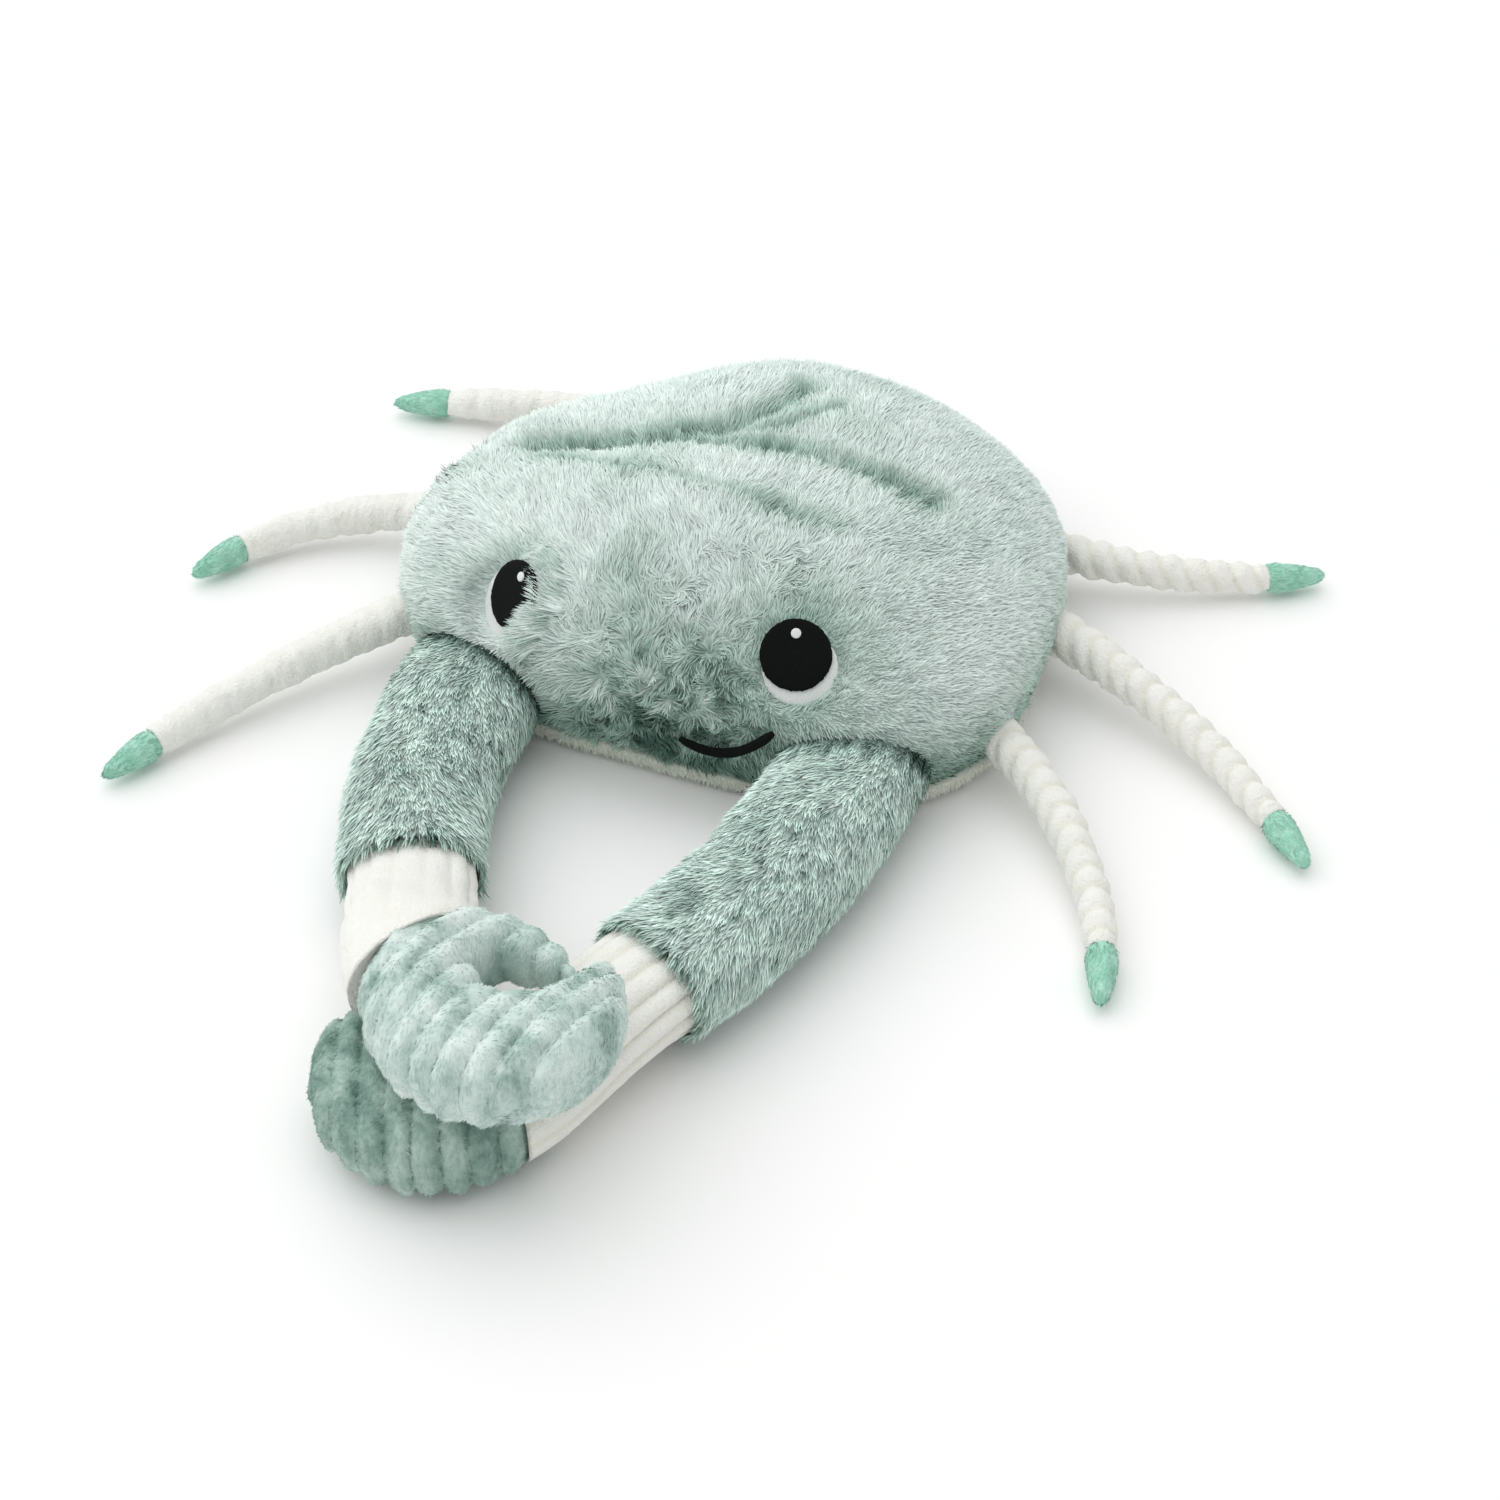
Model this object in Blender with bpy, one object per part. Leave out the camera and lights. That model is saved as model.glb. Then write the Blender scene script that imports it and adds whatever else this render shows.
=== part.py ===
# Plush crab. A stuffed fur body is closed underneath by a short white belly panel. Two fur
# sleeves hold wide-wale forearms that end in hooked claws, one laid on the other, and six
# wide-wale legs end in velour tips. The eyes and the smile are embroidered patches.
# Metres, +Z up. The crab faces -Y and rests on its belly, whose middle is the origin.
import math

import bmesh
import bpy
from mathutils import Matrix, Vector
from mathutils.bvhtree import BVHTree

# Clearance and cloth
GAP = 0.0003
WALE_PITCH = 0.0105
GROOVE_DEPTH = 0.0016

# Body, seen from above it is a rounded shell that is squarer in front
SHELL_HALF_WIDTH = 0.144
SHELL_FRONT = 0.126
SHELL_REAR = 0.120
SHELL_TOP = 0.089
EQUATOR_HEIGHT = 0.036
SEAM_HEIGHT = 0.012
FRONT_SQUARENESS = 3.0
REAR_SQUARENESS = 1.95
FRONT_FLARE = 0.12
REAR_TAPER = 0.05
PILLOW_POWER = 0.80
BELLY_INSET = 0.007
BELLY_CORNER = 0.008
BODY_TURN = math.radians(-4.5)

# Folds of the slack top and the soft forms of the face
CREASE_WIDTH = 0.013
CREASE_DEPTH = 0.010
SOFT_CREASE_DEPTH = 0.006
FOREHEAD_RISE = 0.006
FOREHEAD_SPREAD = 0.045
MUZZLE_RISE = 0.009
MUZZLE_SPREAD = 0.030
REAR_SLACK = 0.018
REAR_SLACK_SPREAD = 0.060
EYE_DENT = 0.007
EYE_DENT_SPREAD = 0.020

# Eyes and mouth
PUPIL_RADIUS = 0.0150
WHITE_RADIUS = 0.0158
GLINT_RADIUS = 0.0021
EYE_SHIFT = 0.0052
PATCH_THICKNESS = 0.0012
SOCKET_SINK = 0.0034
SOCKET_SLACK = 0.0010
MOUTH_WIDTH = 0.038
MOUTH_DROP = 0.010
MOUTH_STROKE = 0.0040
MOUTH_TILT = 0.0035

# Arms
SLEEVE_HALF_WIDTH = 0.0335
SLEEVE_HALF_HEIGHT = 0.0235
CUFF_HALF_WIDTH = 0.0315
CUFF_HALF_HEIGHT = 0.0255
SLEEVE_LIFT = 0.002
CUFF_DEPTH = 0.014
CUFF_SLACK = 0.0018
FOREARM_HALF_WIDTH = 0.0265
FOREARM_HALF_HEIGHT = 0.0200
FOREARM_WALES = 14
LOWER_SLEEVE_LENGTH = 0.162
UPPER_SLEEVE_LENGTH = 0.150
LOWER_FOREARM_LENGTH = 0.077
UPPER_FOREARM_LENGTH = 0.088

# Claws
CLAW_HEIGHT = 0.046
CLAW_REACH = 0.040
FINGER_HALF_WIDTH = 0.0265
WRIST_SLANT = math.radians(32)
LOWER_HOOK_AHEAD = -0.0033
LOWER_HOOK_INWARD = 0.0329
UPPER_HOOK_AHEAD = 0.010
UPPER_HOOK_INWARD = 0.037

# Legs
LEG_REACH = 0.178
LEG_TIP_LENGTH = 0.027
LEG_ROOT_RADIUS = 0.0105
LEG_END_RADIUS = 0.0068
LEG_POINT_RADIUS = 0.0022
LEG_ROOT_HEIGHT = 0.027
LEG_FALL_POWER = 1.3


def clear_scene():
    for old in list(bpy.data.objects):
        bpy.data.objects.remove(old, do_unlink=True)


def new_collection(name):
    collection = bpy.data.collections.new(name)
    bpy.context.scene.collection.children.link(collection)
    return collection


clear_scene()
PARTS = new_collection("plush_crab")
CUTTERS = new_collection("cutters")


def cloth(name, color, roughness):
    material = bpy.data.materials.new(name)
    material.use_nodes = True
    shader = material.node_tree.nodes["Principled BSDF"]
    shader.inputs["Base Color"].default_value = (*color, 1.0)
    shader.inputs["Roughness"].default_value = roughness
    shader.inputs["Metallic"].default_value = 0.0
    return material


SHELL_PLUSH = (0.43, 0.54, 0.51)
CLAW_PLUSH = (0.36, 0.50, 0.47)
CREAM_WALE = (0.86, 0.86, 0.80)
MINT_VELOUR = (0.34, 0.63, 0.51)
BLACK_THREAD = (0.008, 0.010, 0.010)
WHITE_THREAD = (0.80, 0.84, 0.84)


def add_object(name, form, color, roughness, collection=None):
    """Turn a bmesh into a named object with a cloth of its own."""
    mesh = bpy.data.meshes.new(name)
    form.normal_update()
    form.to_mesh(mesh)
    form.free()
    mesh.shade_smooth()
    obj = bpy.data.objects.new(name, mesh)
    (collection or PARTS).objects.link(obj)
    obj.data.materials.append(cloth(name, color, roughness))
    return obj


def add_cutter(name, form):
    obj = add_object(name, form, WHITE_THREAD, 1.0, CUTTERS)
    obj.hide_render = True
    obj.display_type = "WIRE"
    return obj


def cut_away(target, cutter):
    cut = target.modifiers.new("cut_" + cutter.name, "BOOLEAN")
    cut.operation = "DIFFERENCE"
    cut.solver = "EXACT"
    cut.object = cutter


def grow(form, distance):
    """Move every vertex out along its normal."""
    form.normal_update()
    for vertex, normal in [(v, v.normal.copy()) for v in form.verts]:
        vertex.co += normal * distance


# Body
def outline_reach(angle):
    """Distance from the middle to the widest outline of the body, seen from above."""
    across = math.cos(angle)
    along = math.sin(angle)
    depth = SHELL_REAR if along > 0 else SHELL_FRONT
    blend = (1 - along) / 2
    power = REAR_SQUARENESS + (FRONT_SQUARENESS - REAR_SQUARENESS) * blend
    return (abs(across / SHELL_HALF_WIDTH) ** power + abs(along / depth) ** power) ** (-1 / power)


def curve_points(start, middle, end, count):
    """Points of a quadratic curve that is pulled towards its middle point."""
    points = []
    for index in range(count):
        t = index / (count - 1)
        points.append(start * (1 - t) ** 2 + middle * 2 * t * (1 - t) + end * t ** 2)
    return points


def on_body(across, along, up):
    """A place given as shares of the body's half width, front and top."""
    return Vector((across * SHELL_HALF_WIDTH, along * SHELL_FRONT, up * SHELL_TOP))


EYE_PLACES = {
    "right": on_body(-0.535, -0.745, 0.70),
    "left": on_body(0.345, -0.769, 0.71),
}

# Each crease is a curve over the top, with its depth
CREASES = (
    (curve_points(on_body(-0.68, 0, 0), on_body(-0.17, 0.22, 0), on_body(0.55, 0.03, 0), 14),
     CREASE_DEPTH),
    (curve_points(on_body(-0.24, 0.17, 0), on_body(-0.04, 0.24, 0), on_body(0.03, 0.52, 0), 8),
     SOFT_CREASE_DEPTH),
)

# Each soft form is a place on the body, its spread and how far it stands out
SOFT_FORMS = (
    (on_body(-0.17, -0.36, 0.95), FOREHEAD_SPREAD, FOREHEAD_RISE),
    (on_body(-0.09, -0.89, 0.54), MUZZLE_SPREAD, MUZZLE_RISE),
    (EYE_PLACES["right"], EYE_DENT_SPREAD, -EYE_DENT),
    (EYE_PLACES["left"], EYE_DENT_SPREAD, -EYE_DENT),
    (on_body(-0.62, 0.55, 0.72), REAR_SLACK_SPREAD, -REAR_SLACK),
)


def crease_drop(place):
    drop = 0.0
    for points, depth in CREASES:
        nearest = min((place.xy - point.xy).length for point in points)
        drop += depth * math.exp(-((nearest / CREASE_WIDTH) ** 2))
    return drop


# How much of the lower half, seen from below, turns into the flat underside
UNDERSIDE_SHARE = 0.55


def wall_point(outline, share):
    """Reach and height on the side that rolls under, from the widest outline down to the floor."""
    turn = min(share * 2, 1.0)
    if share < 0.5:
        return outline - BELLY_INSET * turn ** 2, EQUATOR_HEIGHT + (BELLY_CORNER - EQUATOR_HEIGHT) * turn
    bend = (share - 0.5) * math.pi
    return outline - BELLY_INSET - BELLY_CORNER * (1 - math.cos(bend)), BELLY_CORNER * (1 - math.sin(bend))


def body_point(direction):
    """Surface point of the stuffed body in a direction from its middle."""
    angle = math.atan2(direction.y, direction.x)
    rise = direction.z
    level = math.hypot(direction.x, direction.y)
    if rise >= 0:
        reach = outline_reach(angle) * level ** PILLOW_POWER
        height = EQUATOR_HEIGHT + (SHELL_TOP - EQUATOR_HEIGHT) * rise ** PILLOW_POWER
    elif level < UNDERSIDE_SHARE:
        reach = (outline_reach(angle) - BELLY_INSET - BELLY_CORNER) * level / UNDERSIDE_SHARE
        height = -BELLY_CORNER * (1 - level / UNDERSIDE_SHARE)
    else:
        reach, height = wall_point(outline_reach(angle), (1 - level) / (1 - UNDERSIDE_SHARE))
    point = Vector((reach * math.cos(angle), reach * math.sin(angle), height))
    point.x *= 1 + FRONT_FLARE * max(-point.y / SHELL_FRONT, 0) - REAR_TAPER * max(point.y / SHELL_REAR, 0)
    point.rotate(Matrix.Rotation(BODY_TURN, 3, "Z"))
    if rise > 0:
        point.z -= crease_drop(point) * rise
        for place, spread, stand in SOFT_FORMS:
            distance = (point - place).length
            point += direction * stand * math.exp(-((distance / spread) ** 2))
    return point


def body_form():
    """The closed body with its flat underside."""
    form = bmesh.new()
    sideways = Matrix.Rotation(math.pi / 2, 4, "Y")
    bmesh.ops.create_uvsphere(form, u_segments=40, v_segments=26, radius=1.0, matrix=sideways)
    for vertex in form.verts:
        vertex.co = body_point(vertex.co.normalized())
    bmesh.ops.triangulate(form, faces=form.faces[:])
    keep_side(form, Vector((0, 0, 0)), Vector((0, 0, 1)))
    return form


def keep_side(form, place, normal):
    """Cut with a plane, keep what its normal points to and close the cut."""
    parts = form.verts[:] + form.edges[:] + form.faces[:]
    cut = bmesh.ops.bisect_plane(form, geom=parts, plane_co=place, plane_no=normal, clear_inner=True)
    edges = [item for item in cut["geom_cut"] if isinstance(item, bmesh.types.BMEdge)]
    bmesh.ops.holes_fill(form, edges=edges)
    bmesh.ops.recalc_face_normals(form, faces=form.faces[:])


carapace_form = body_form()
keep_side(carapace_form, Vector((0, 0, SEAM_HEIGHT + GAP / 2)), Vector((0, 0, 1)))
CARAPACE_SURFACE = BVHTree.FromBMesh(carapace_form)
carapace = add_object("carapace", carapace_form, SHELL_PLUSH, 0.95)

belly_form = body_form()
keep_side(belly_form, Vector((0, 0, SEAM_HEIGHT - GAP / 2)), Vector((0, 0, -1)))
belly = add_object("belly", belly_form, CREAM_WALE, 0.95)

clearance_form = body_form()
grow(clearance_form, GAP * 1.3)
body_clearance = add_cutter("body_clearance", clearance_form)


# Eyes
def facing_frame(place, facing):
    """A frame at a place whose Z axis is the facing direction and whose Y axis points up."""
    side = Vector((0, 0, 1)).cross(facing).normalized()
    up = facing.cross(side)
    frame = Matrix((side, up, facing)).transposed().to_4x4()
    frame.translation = place
    return frame


def disc_form(frame, radius, low, high, segments):
    form = bmesh.new()
    bmesh.ops.create_cone(
        form, cap_ends=True, segments=segments, radius1=radius, radius2=radius, depth=high - low,
        matrix=frame @ Matrix.Translation((0, 0, (low + high) / 2)))
    return form


def build_eye(side, facing, shift):
    """An embroidered eye in a shallow pinched seat."""
    facing = facing.normalized()
    hit = CARAPACE_SURFACE.ray_cast(EYE_PLACES[side] + facing * SHELL_TOP, -facing)[0]
    frame = facing_frame(hit - facing * SOCKET_SINK, facing)
    seat_radius = PUPIL_RADIUS + EYE_SHIFT / 2 + SOCKET_SLACK
    cut_away(carapace, add_cutter("eye_seat_" + side, disc_form(frame, seat_radius, 0.0, SHELL_TOP / 2, 28)))
    frame = frame @ Matrix.Translation(shift * -EYE_SHIFT / 2)
    low = GAP
    high = low + PATCH_THICKNESS
    add_object("eye_white_" + side, disc_form(frame, WHITE_RADIUS, low, high, 28), WHITE_THREAD, 0.7)
    frame = frame @ Matrix.Translation(shift * EYE_SHIFT)
    low = high + GAP
    high = low + PATCH_THICKNESS
    add_object("eye_pupil_" + side, disc_form(frame, PUPIL_RADIUS, low, high, 24), BLACK_THREAD, 0.6)
    frame = frame @ Matrix.Translation((0, PUPIL_RADIUS * 0.6, 0))
    low = high + GAP
    high = low + PATCH_THICKNESS / 2
    add_object("eye_glint_" + side, disc_form(frame, GLINT_RADIUS, low, high, 10), WHITE_THREAD, 0.7)


build_eye("right", Vector((-0.55, -0.65, 0.53)), Vector((0.45, 0.9, 0)))
build_eye("left", Vector((0.22, -0.76, 0.62)), Vector((-0.3, 0.95, 0)))


# Tubes along curves
def add_tube(name, points, radii, color, roughness):
    """A round tube with closed ends along the points."""
    curve = bpy.data.curves.new(name, "CURVE")
    curve.dimensions = "3D"
    curve.bevel_depth = radii[0]
    curve.bevel_resolution = 2
    curve.use_fill_caps = True
    spline = curve.splines.new("POLY")
    spline.points.add(len(points) - 1)
    for item, point, radius in zip(spline.points, points, radii):
        item.co = (*point, 1.0)
        item.radius = radius / radii[0]
    obj = bpy.data.objects.new(name, curve)
    PARTS.objects.link(obj)
    obj.data.materials.append(cloth(name, color, roughness))
    return obj


def as_mesh(tube, collection=None):
    """Replace a curve object by a mesh object with welded caps, so that it can be cut."""
    bpy.context.view_layer.update()
    evaluated = tube.evaluated_get(bpy.context.evaluated_depsgraph_get())
    mesh = bpy.data.meshes.new_from_object(evaluated)
    form = bmesh.new()
    form.from_mesh(mesh)
    bmesh.ops.remove_doubles(form, verts=form.verts[:], dist=0.00001)
    form.to_mesh(mesh)
    form.free()
    name = tube.name
    matrix = tube.matrix_world.copy()
    bpy.data.objects.remove(tube, do_unlink=True)
    obj = bpy.data.objects.new(name, mesh)
    obj.matrix_world = matrix
    (collection or PARTS).objects.link(obj)
    return obj


# Mouth
def build_mouth():
    """The smile is a satin-stitch cord laid half into the front of the carapace."""
    middle = on_body(0.20, -0.91, 0.31)
    points = []
    for index in range(9):
        t = index / 4 - 1
        place = middle + Vector((t * MOUTH_WIDTH / 2, 0, t * t * MOUTH_DROP + t * MOUTH_TILT))
        above = place + Vector((0, -SHELL_FRONT, SHELL_FRONT * 0.4))
        hit, normal = CARAPACE_SURFACE.ray_cast(above, Vector((0, 1, -0.4)))[:2]
        points.append(hit + normal * (MOUTH_STROKE / 2 + GAP))
    add_tube("mouth", points, [MOUTH_STROKE / 2] * len(points), BLACK_THREAD, 0.6)
    channel = as_mesh(add_tube(
        "mouth_channel", points, [MOUTH_STROKE / 2 + GAP] * len(points), BLACK_THREAD, 0.6), CUTTERS)
    channel.hide_render = True
    channel.display_type = "WIRE"
    cut_away(carapace, channel)


build_mouth()


# Sweeps
def smooth_route(stations, steps):
    """Catmull-Rom curve through stations of any number of values each."""
    route = []
    last = len(stations) - 1
    for index in range(last):
        before = stations[max(index - 1, 0)]
        start = stations[index]
        end = stations[index + 1]
        after = stations[min(index + 2, last)]
        for step in range(steps):
            t = step / steps
            route.append(tuple(
                0.5 * (2 * b + (c - a) * t + (2 * a - 5 * b + 4 * c - d) * t * t
                       + (3 * b - a - 3 * c + d) * t ** 3)
                for a, b, c, d in zip(before, start, end, after)))
    route.append(tuple(stations[-1]))
    return route


def oval(turn, power):
    """Point of a unit superellipse."""
    across = math.cos(turn)
    rise = math.sin(turn)
    return (math.copysign(abs(across) ** (2 / power), across), math.copysign(abs(rise) ** (2 / power), rise))


def sweep_form(stations, sides, power=2.2, wales=0, extra=0.0, slant=0.0):
    """Loft of oval sections along stations of x, y, z, half width and half height.

    With wales, each section has that many flat ribs with a groove between them. A slant turns
    the last section about the vertical."""
    form = bmesh.new()
    rings = []
    count = len(stations)
    turns = wale_turns(wales) if wales else [(math.tau * i / sides, 0.0) for i in range(sides)]
    for index, station in enumerate(stations):
        centre = Vector(station[:3])
        ahead = Vector(stations[min(index + 1, count - 1)][:3]) - Vector(stations[max(index - 1, 0)][:3])
        ahead.normalize()
        side = ahead.cross(Vector((0, 0, 1))).normalized()
        if index == count - 1 and slant:
            side = Matrix.Rotation(slant, 3, "Z") @ side
        lift = side.cross(ahead).normalized()
        ring = []
        for turn, groove in turns:
            across, rise = oval(turn, power)
            wide = station[3] + extra - groove
            high = station[4] + extra - groove
            ring.append(form.verts.new(centre + side * across * wide + lift * rise * high))
        rings.append(ring)
    for first, second in zip(rings, rings[1:]):
        for index in range(len(first)):
            after = (index + 1) % len(first)
            form.faces.new((first[index], first[after], second[after], second[index]))
    form.faces.new(rings[0])
    form.faces.new(rings[-1])
    bmesh.ops.recalc_face_normals(form, faces=form.faces[:])
    return form


def wale_turns(wales):
    """Turns round a section with a groove point and two rib shoulders for each wale."""
    turns = []
    for index in range(wales):
        for share, groove in ((0.0, GROOVE_DEPTH), (0.22, 0.0), (0.78, 0.0)):
            turns.append((math.tau * (index + share) / wales, groove))
    return turns


def arc_route(start, heading, turn, length, count):
    """Points along a level arc that starts at a heading and turns evenly."""
    points = [Vector(start)]
    step = length / (count - 1)
    for index in range(count - 1):
        angle = heading + turn * (index + 0.5) / (count - 1)
        points.append(points[-1] + Vector((math.cos(angle), math.sin(angle))) * step)
    return points


# Claws. Each station is an angle round the finger hole and the shares of the claw's reach, the
# finger's half width and half the claw's height, for an arm along -Y and a claw that opens to +X
CLAW_STATIONS = (
    (17, 0.56, 0.13, 0.39),
    (32, 0.50, 0.26, 0.52),
    (62, 0.48, 0.34, 0.61),
    (98, 0.54, 0.42, 0.70),
    (135, 0.64, 0.54, 0.86),
    (172, 0.80, 0.82, 1.00),
    (208, 0.90, 0.93, 1.00),
    (242, 1.00, 1.00, 1.00),
    (276, 0.98, 0.93, 1.00),
    (308, 0.90, 0.72, 0.93),
    (334, 0.83, 0.50, 0.78),
    (354, 0.84, 0.32, 0.61),
    (366, 0.83, 0.17, 0.43),
)
GROOVE_ANGLE = math.radians(-40)


def claw_form(hole, base, heading, mirrored, extra=0.0):
    """The hooked claw as one bent, stuffed tube from finger tip to finger tip."""
    placing = claw_placing(hole, heading, mirrored)
    stations = []
    for angle, distance, wide, high in CLAW_STATIONS:
        local = Vector((math.cos(math.radians(angle)), math.sin(math.radians(angle)), 0))
        place = placing @ (local * distance * CLAW_REACH)
        half_height = high * CLAW_HEIGHT / 2
        stations.append((place.x, place.y, base + half_height, wide * FINGER_HALF_WIDTH, half_height))
    return sweep_form(smooth_route(stations, 2), 12, power=2.3, extra=extra)


def claw_placing(hole, heading, mirrored):
    """Puts the claw's own plan on its arm."""
    flip = Matrix.Scale(-1, 4, Vector((1, 0, 0))) if mirrored else Matrix.Identity(4)
    turn = Matrix.Rotation(heading + math.pi / 2, 4, "Z")
    return Matrix.Translation((hole.x, hole.y, 0)) @ turn @ flip


def groove_claw(form, hole, heading, mirrored):
    """Press parallel upright grooves into the claw, one for each wale."""
    placing = claw_placing(hole, heading, mirrored)
    normal = placing.to_3x3() @ Vector((math.cos(GROOVE_ANGLE), math.sin(GROOVE_ANGLE), 0))
    middle = Vector((hole.x, hole.y, 0))
    reach = [(v.co - middle).dot(normal) for v in form.verts]
    first = math.ceil(min(reach) / (WALE_PITCH / 2))
    last = math.floor(max(reach) / (WALE_PITCH / 2))
    for index in range(first, last + 1):
        parts = form.verts[:] + form.edges[:] + form.faces[:]
        place = middle + normal * index * WALE_PITCH / 2
        bmesh.ops.bisect_plane(form, geom=parts, dist=1e-6, plane_co=place, plane_no=normal)
    form.normal_update()
    moves = []
    for vertex in form.verts:
        share = (vertex.co - middle).dot(normal) / WALE_PITCH
        if abs(share - round(share)) < 1e-3:
            moves.append((vertex, vertex.normal * GROOVE_DEPTH))
    for vertex, move in moves:
        vertex.co -= move


def build_arm(side, root, heading, turn, sleeve_length, bend, forearm_length, slant, hook, claw_base):
    """One arm from the body to the claw.

    The sleeve bends evenly by turn and the forearm by bend. The hook gives the place of the
    claw's finger hole, ahead of the forearm's end and to the inner side of it."""
    mirrored = side == "left"
    plan = arc_route(root.xy, heading, turn, sleeve_length, 9)
    ahead = Vector((math.cos(heading + turn), math.sin(heading + turn)))
    mouth = plan[-1]
    wrist_heading = heading + turn + bend
    forearm_plan = arc_route(mouth, heading + turn, bend, forearm_length, 5)
    wrist_ahead = Vector((math.cos(wrist_heading), math.sin(wrist_heading)))
    inner = Vector((-wrist_ahead.y, wrist_ahead.x)) * (-1 if mirrored else 1)
    hole = forearm_plan[-1] + wrist_ahead * hook[0] + inner * hook[1]
    claw = claw_form(hole, claw_base, wrist_heading, mirrored)
    groove_claw(claw, hole, wrist_heading, mirrored)
    add_object("claw_" + side, claw, CLAW_PLUSH, 0.9)
    claw_clearance = add_cutter(
        "claw_clearance_" + side, claw_form(hole, claw_base, wrist_heading, mirrored, GAP * 2))

    cuff_height = CUFF_HALF_HEIGHT + SLEEVE_LIFT
    wrist_height = claw_base + CLAW_HEIGHT / 2
    floor = mouth - ahead * CUFF_DEPTH
    forearm_stations = [(floor.x, floor.y, cuff_height, FOREARM_HALF_WIDTH, FOREARM_HALF_HEIGHT)]
    for index, place in enumerate(forearm_plan):
        t = index / (len(forearm_plan) - 1)
        height = cuff_height + (wrist_height - cuff_height) * t * t * (3 - 2 * t)
        forearm_stations.append((place.x, place.y, height, FOREARM_HALF_WIDTH, FOREARM_HALF_HEIGHT))
    forearm_form = sweep_form(forearm_stations, 0, wales=FOREARM_WALES, slant=slant)
    forearm = add_object("forearm_" + side, forearm_form, CREAM_WALE, 0.95)
    cut_away(forearm, claw_clearance)

    back = floor - ahead * GAP
    recess_stations = [(back.x, back.y, *forearm_stations[0][2:])] + forearm_stations[1:3]
    recess = add_cutter("cuff_recess_" + side, sweep_form(recess_stations, 24, extra=CUFF_SLACK))
    sleeve_stations = []
    for index, place in enumerate(plan):
        t = index / (len(plan) - 1)
        wide = SLEEVE_HALF_WIDTH + (CUFF_HALF_WIDTH - SLEEVE_HALF_WIDTH) * t ** 2
        high = SLEEVE_HALF_HEIGHT + (CUFF_HALF_HEIGHT - SLEEVE_HALF_HEIGHT) * t
        sleeve_stations.append((place.x, place.y, high + SLEEVE_LIFT, wide, high))
    sleeve = add_object("sleeve_" + side, sweep_form(sleeve_stations, 20), SHELL_PLUSH, 0.95)
    cut_away(sleeve, body_clearance)
    cut_away(sleeve, recess)
    return forearm, claw_clearance


lower_forearm, lower_clearance = build_arm(
    "left", on_body(0.56, -0.78, 0), math.radians(-92), math.radians(-27), LOWER_SLEEVE_LENGTH,
    math.radians(6), LOWER_FOREARM_LENGTH, -WRIST_SLANT, (LOWER_HOOK_AHEAD, LOWER_HOOK_INWARD), 0.0)
upper_forearm, upper_clearance = build_arm(
    "right", on_body(-0.58, -0.65, 0), math.radians(-104), math.radians(37), UPPER_SLEEVE_LENGTH,
    0.0, UPPER_FOREARM_LENGTH, WRIST_SLANT, (UPPER_HOOK_AHEAD, UPPER_HOOK_INWARD), CLAW_HEIGHT + GAP)
cut_away(upper_forearm, lower_clearance)


# Legs. Each has an angle round the body for its root, the share of its reach that is tucked in,
# and its first and last heading
LEGS = {
    "back_right": (110, 0.174, 165, 193),
    "middle_right": (188, 0.275, 150, 244),
    "front_right": (206, 0.118, 217, 244),
    "back_left": (40, 0.230, -10, 30),
    "middle_left": (1, 0.112, -17, -52),
    "front_left": (-29, 0.174, -26, -83),
}


def leg_route(root_angle, tuck, first, last):
    """A function that gives the point of a leg at a distance from its root."""
    angle = math.radians(root_angle)
    reach = outline_reach(angle) - tuck * LEG_REACH
    root = Vector((reach * math.cos(angle), reach * math.sin(angle)))
    count = 60
    plan = arc_route(root, math.radians(first), math.radians(last - first), LEG_REACH, count)

    def at(distance):
        share = min(distance / LEG_REACH, 1.0)
        place = share * (count - 1)
        index = min(int(place), count - 2)
        spot = plan[index].lerp(plan[index + 1], place - index)
        fall = (LEG_ROOT_HEIGHT - LEG_END_RADIUS) * (1 - share) ** LEG_FALL_POWER
        return Vector((spot.x, spot.y, LEG_END_RADIUS + fall))

    return at


def build_leg(name, root_angle, tuck, first, last):
    at = leg_route(root_angle, tuck, first, last)
    white_length = LEG_REACH - LEG_TIP_LENGTH
    count = round(white_length / WALE_PITCH) * 2
    points = []
    radii = []
    for index in range(count + 1):
        distance = white_length * index / count
        radius = LEG_ROOT_RADIUS + (LEG_END_RADIUS - LEG_ROOT_RADIUS) * distance / white_length
        points.append(at(distance))
        radii.append(radius if index % 2 else radius - GROOVE_DEPTH)
    leg = as_mesh(add_tube("leg_" + name, points, radii, CREAM_WALE, 0.95))
    cut_away(leg, body_clearance)

    points = []
    radii = []
    for index in range(5):
        t = index / 4
        points.append(at(white_length + GAP + (LEG_TIP_LENGTH - GAP) * t))
        radii.append(LEG_POINT_RADIUS + (LEG_END_RADIUS - LEG_POINT_RADIUS) * (1 - t ** 1.8))
    add_tube("leg_tip_" + name, points, radii, MINT_VELOUR, 0.9)


for leg_name, leg_values in LEGS.items():
    build_leg(leg_name, *leg_values)
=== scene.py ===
import math

import bmesh
import bpy
import numpy as np
from mathutils import Matrix, Vector, noise
from mathutils.bvhtree import BVHTree


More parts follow.
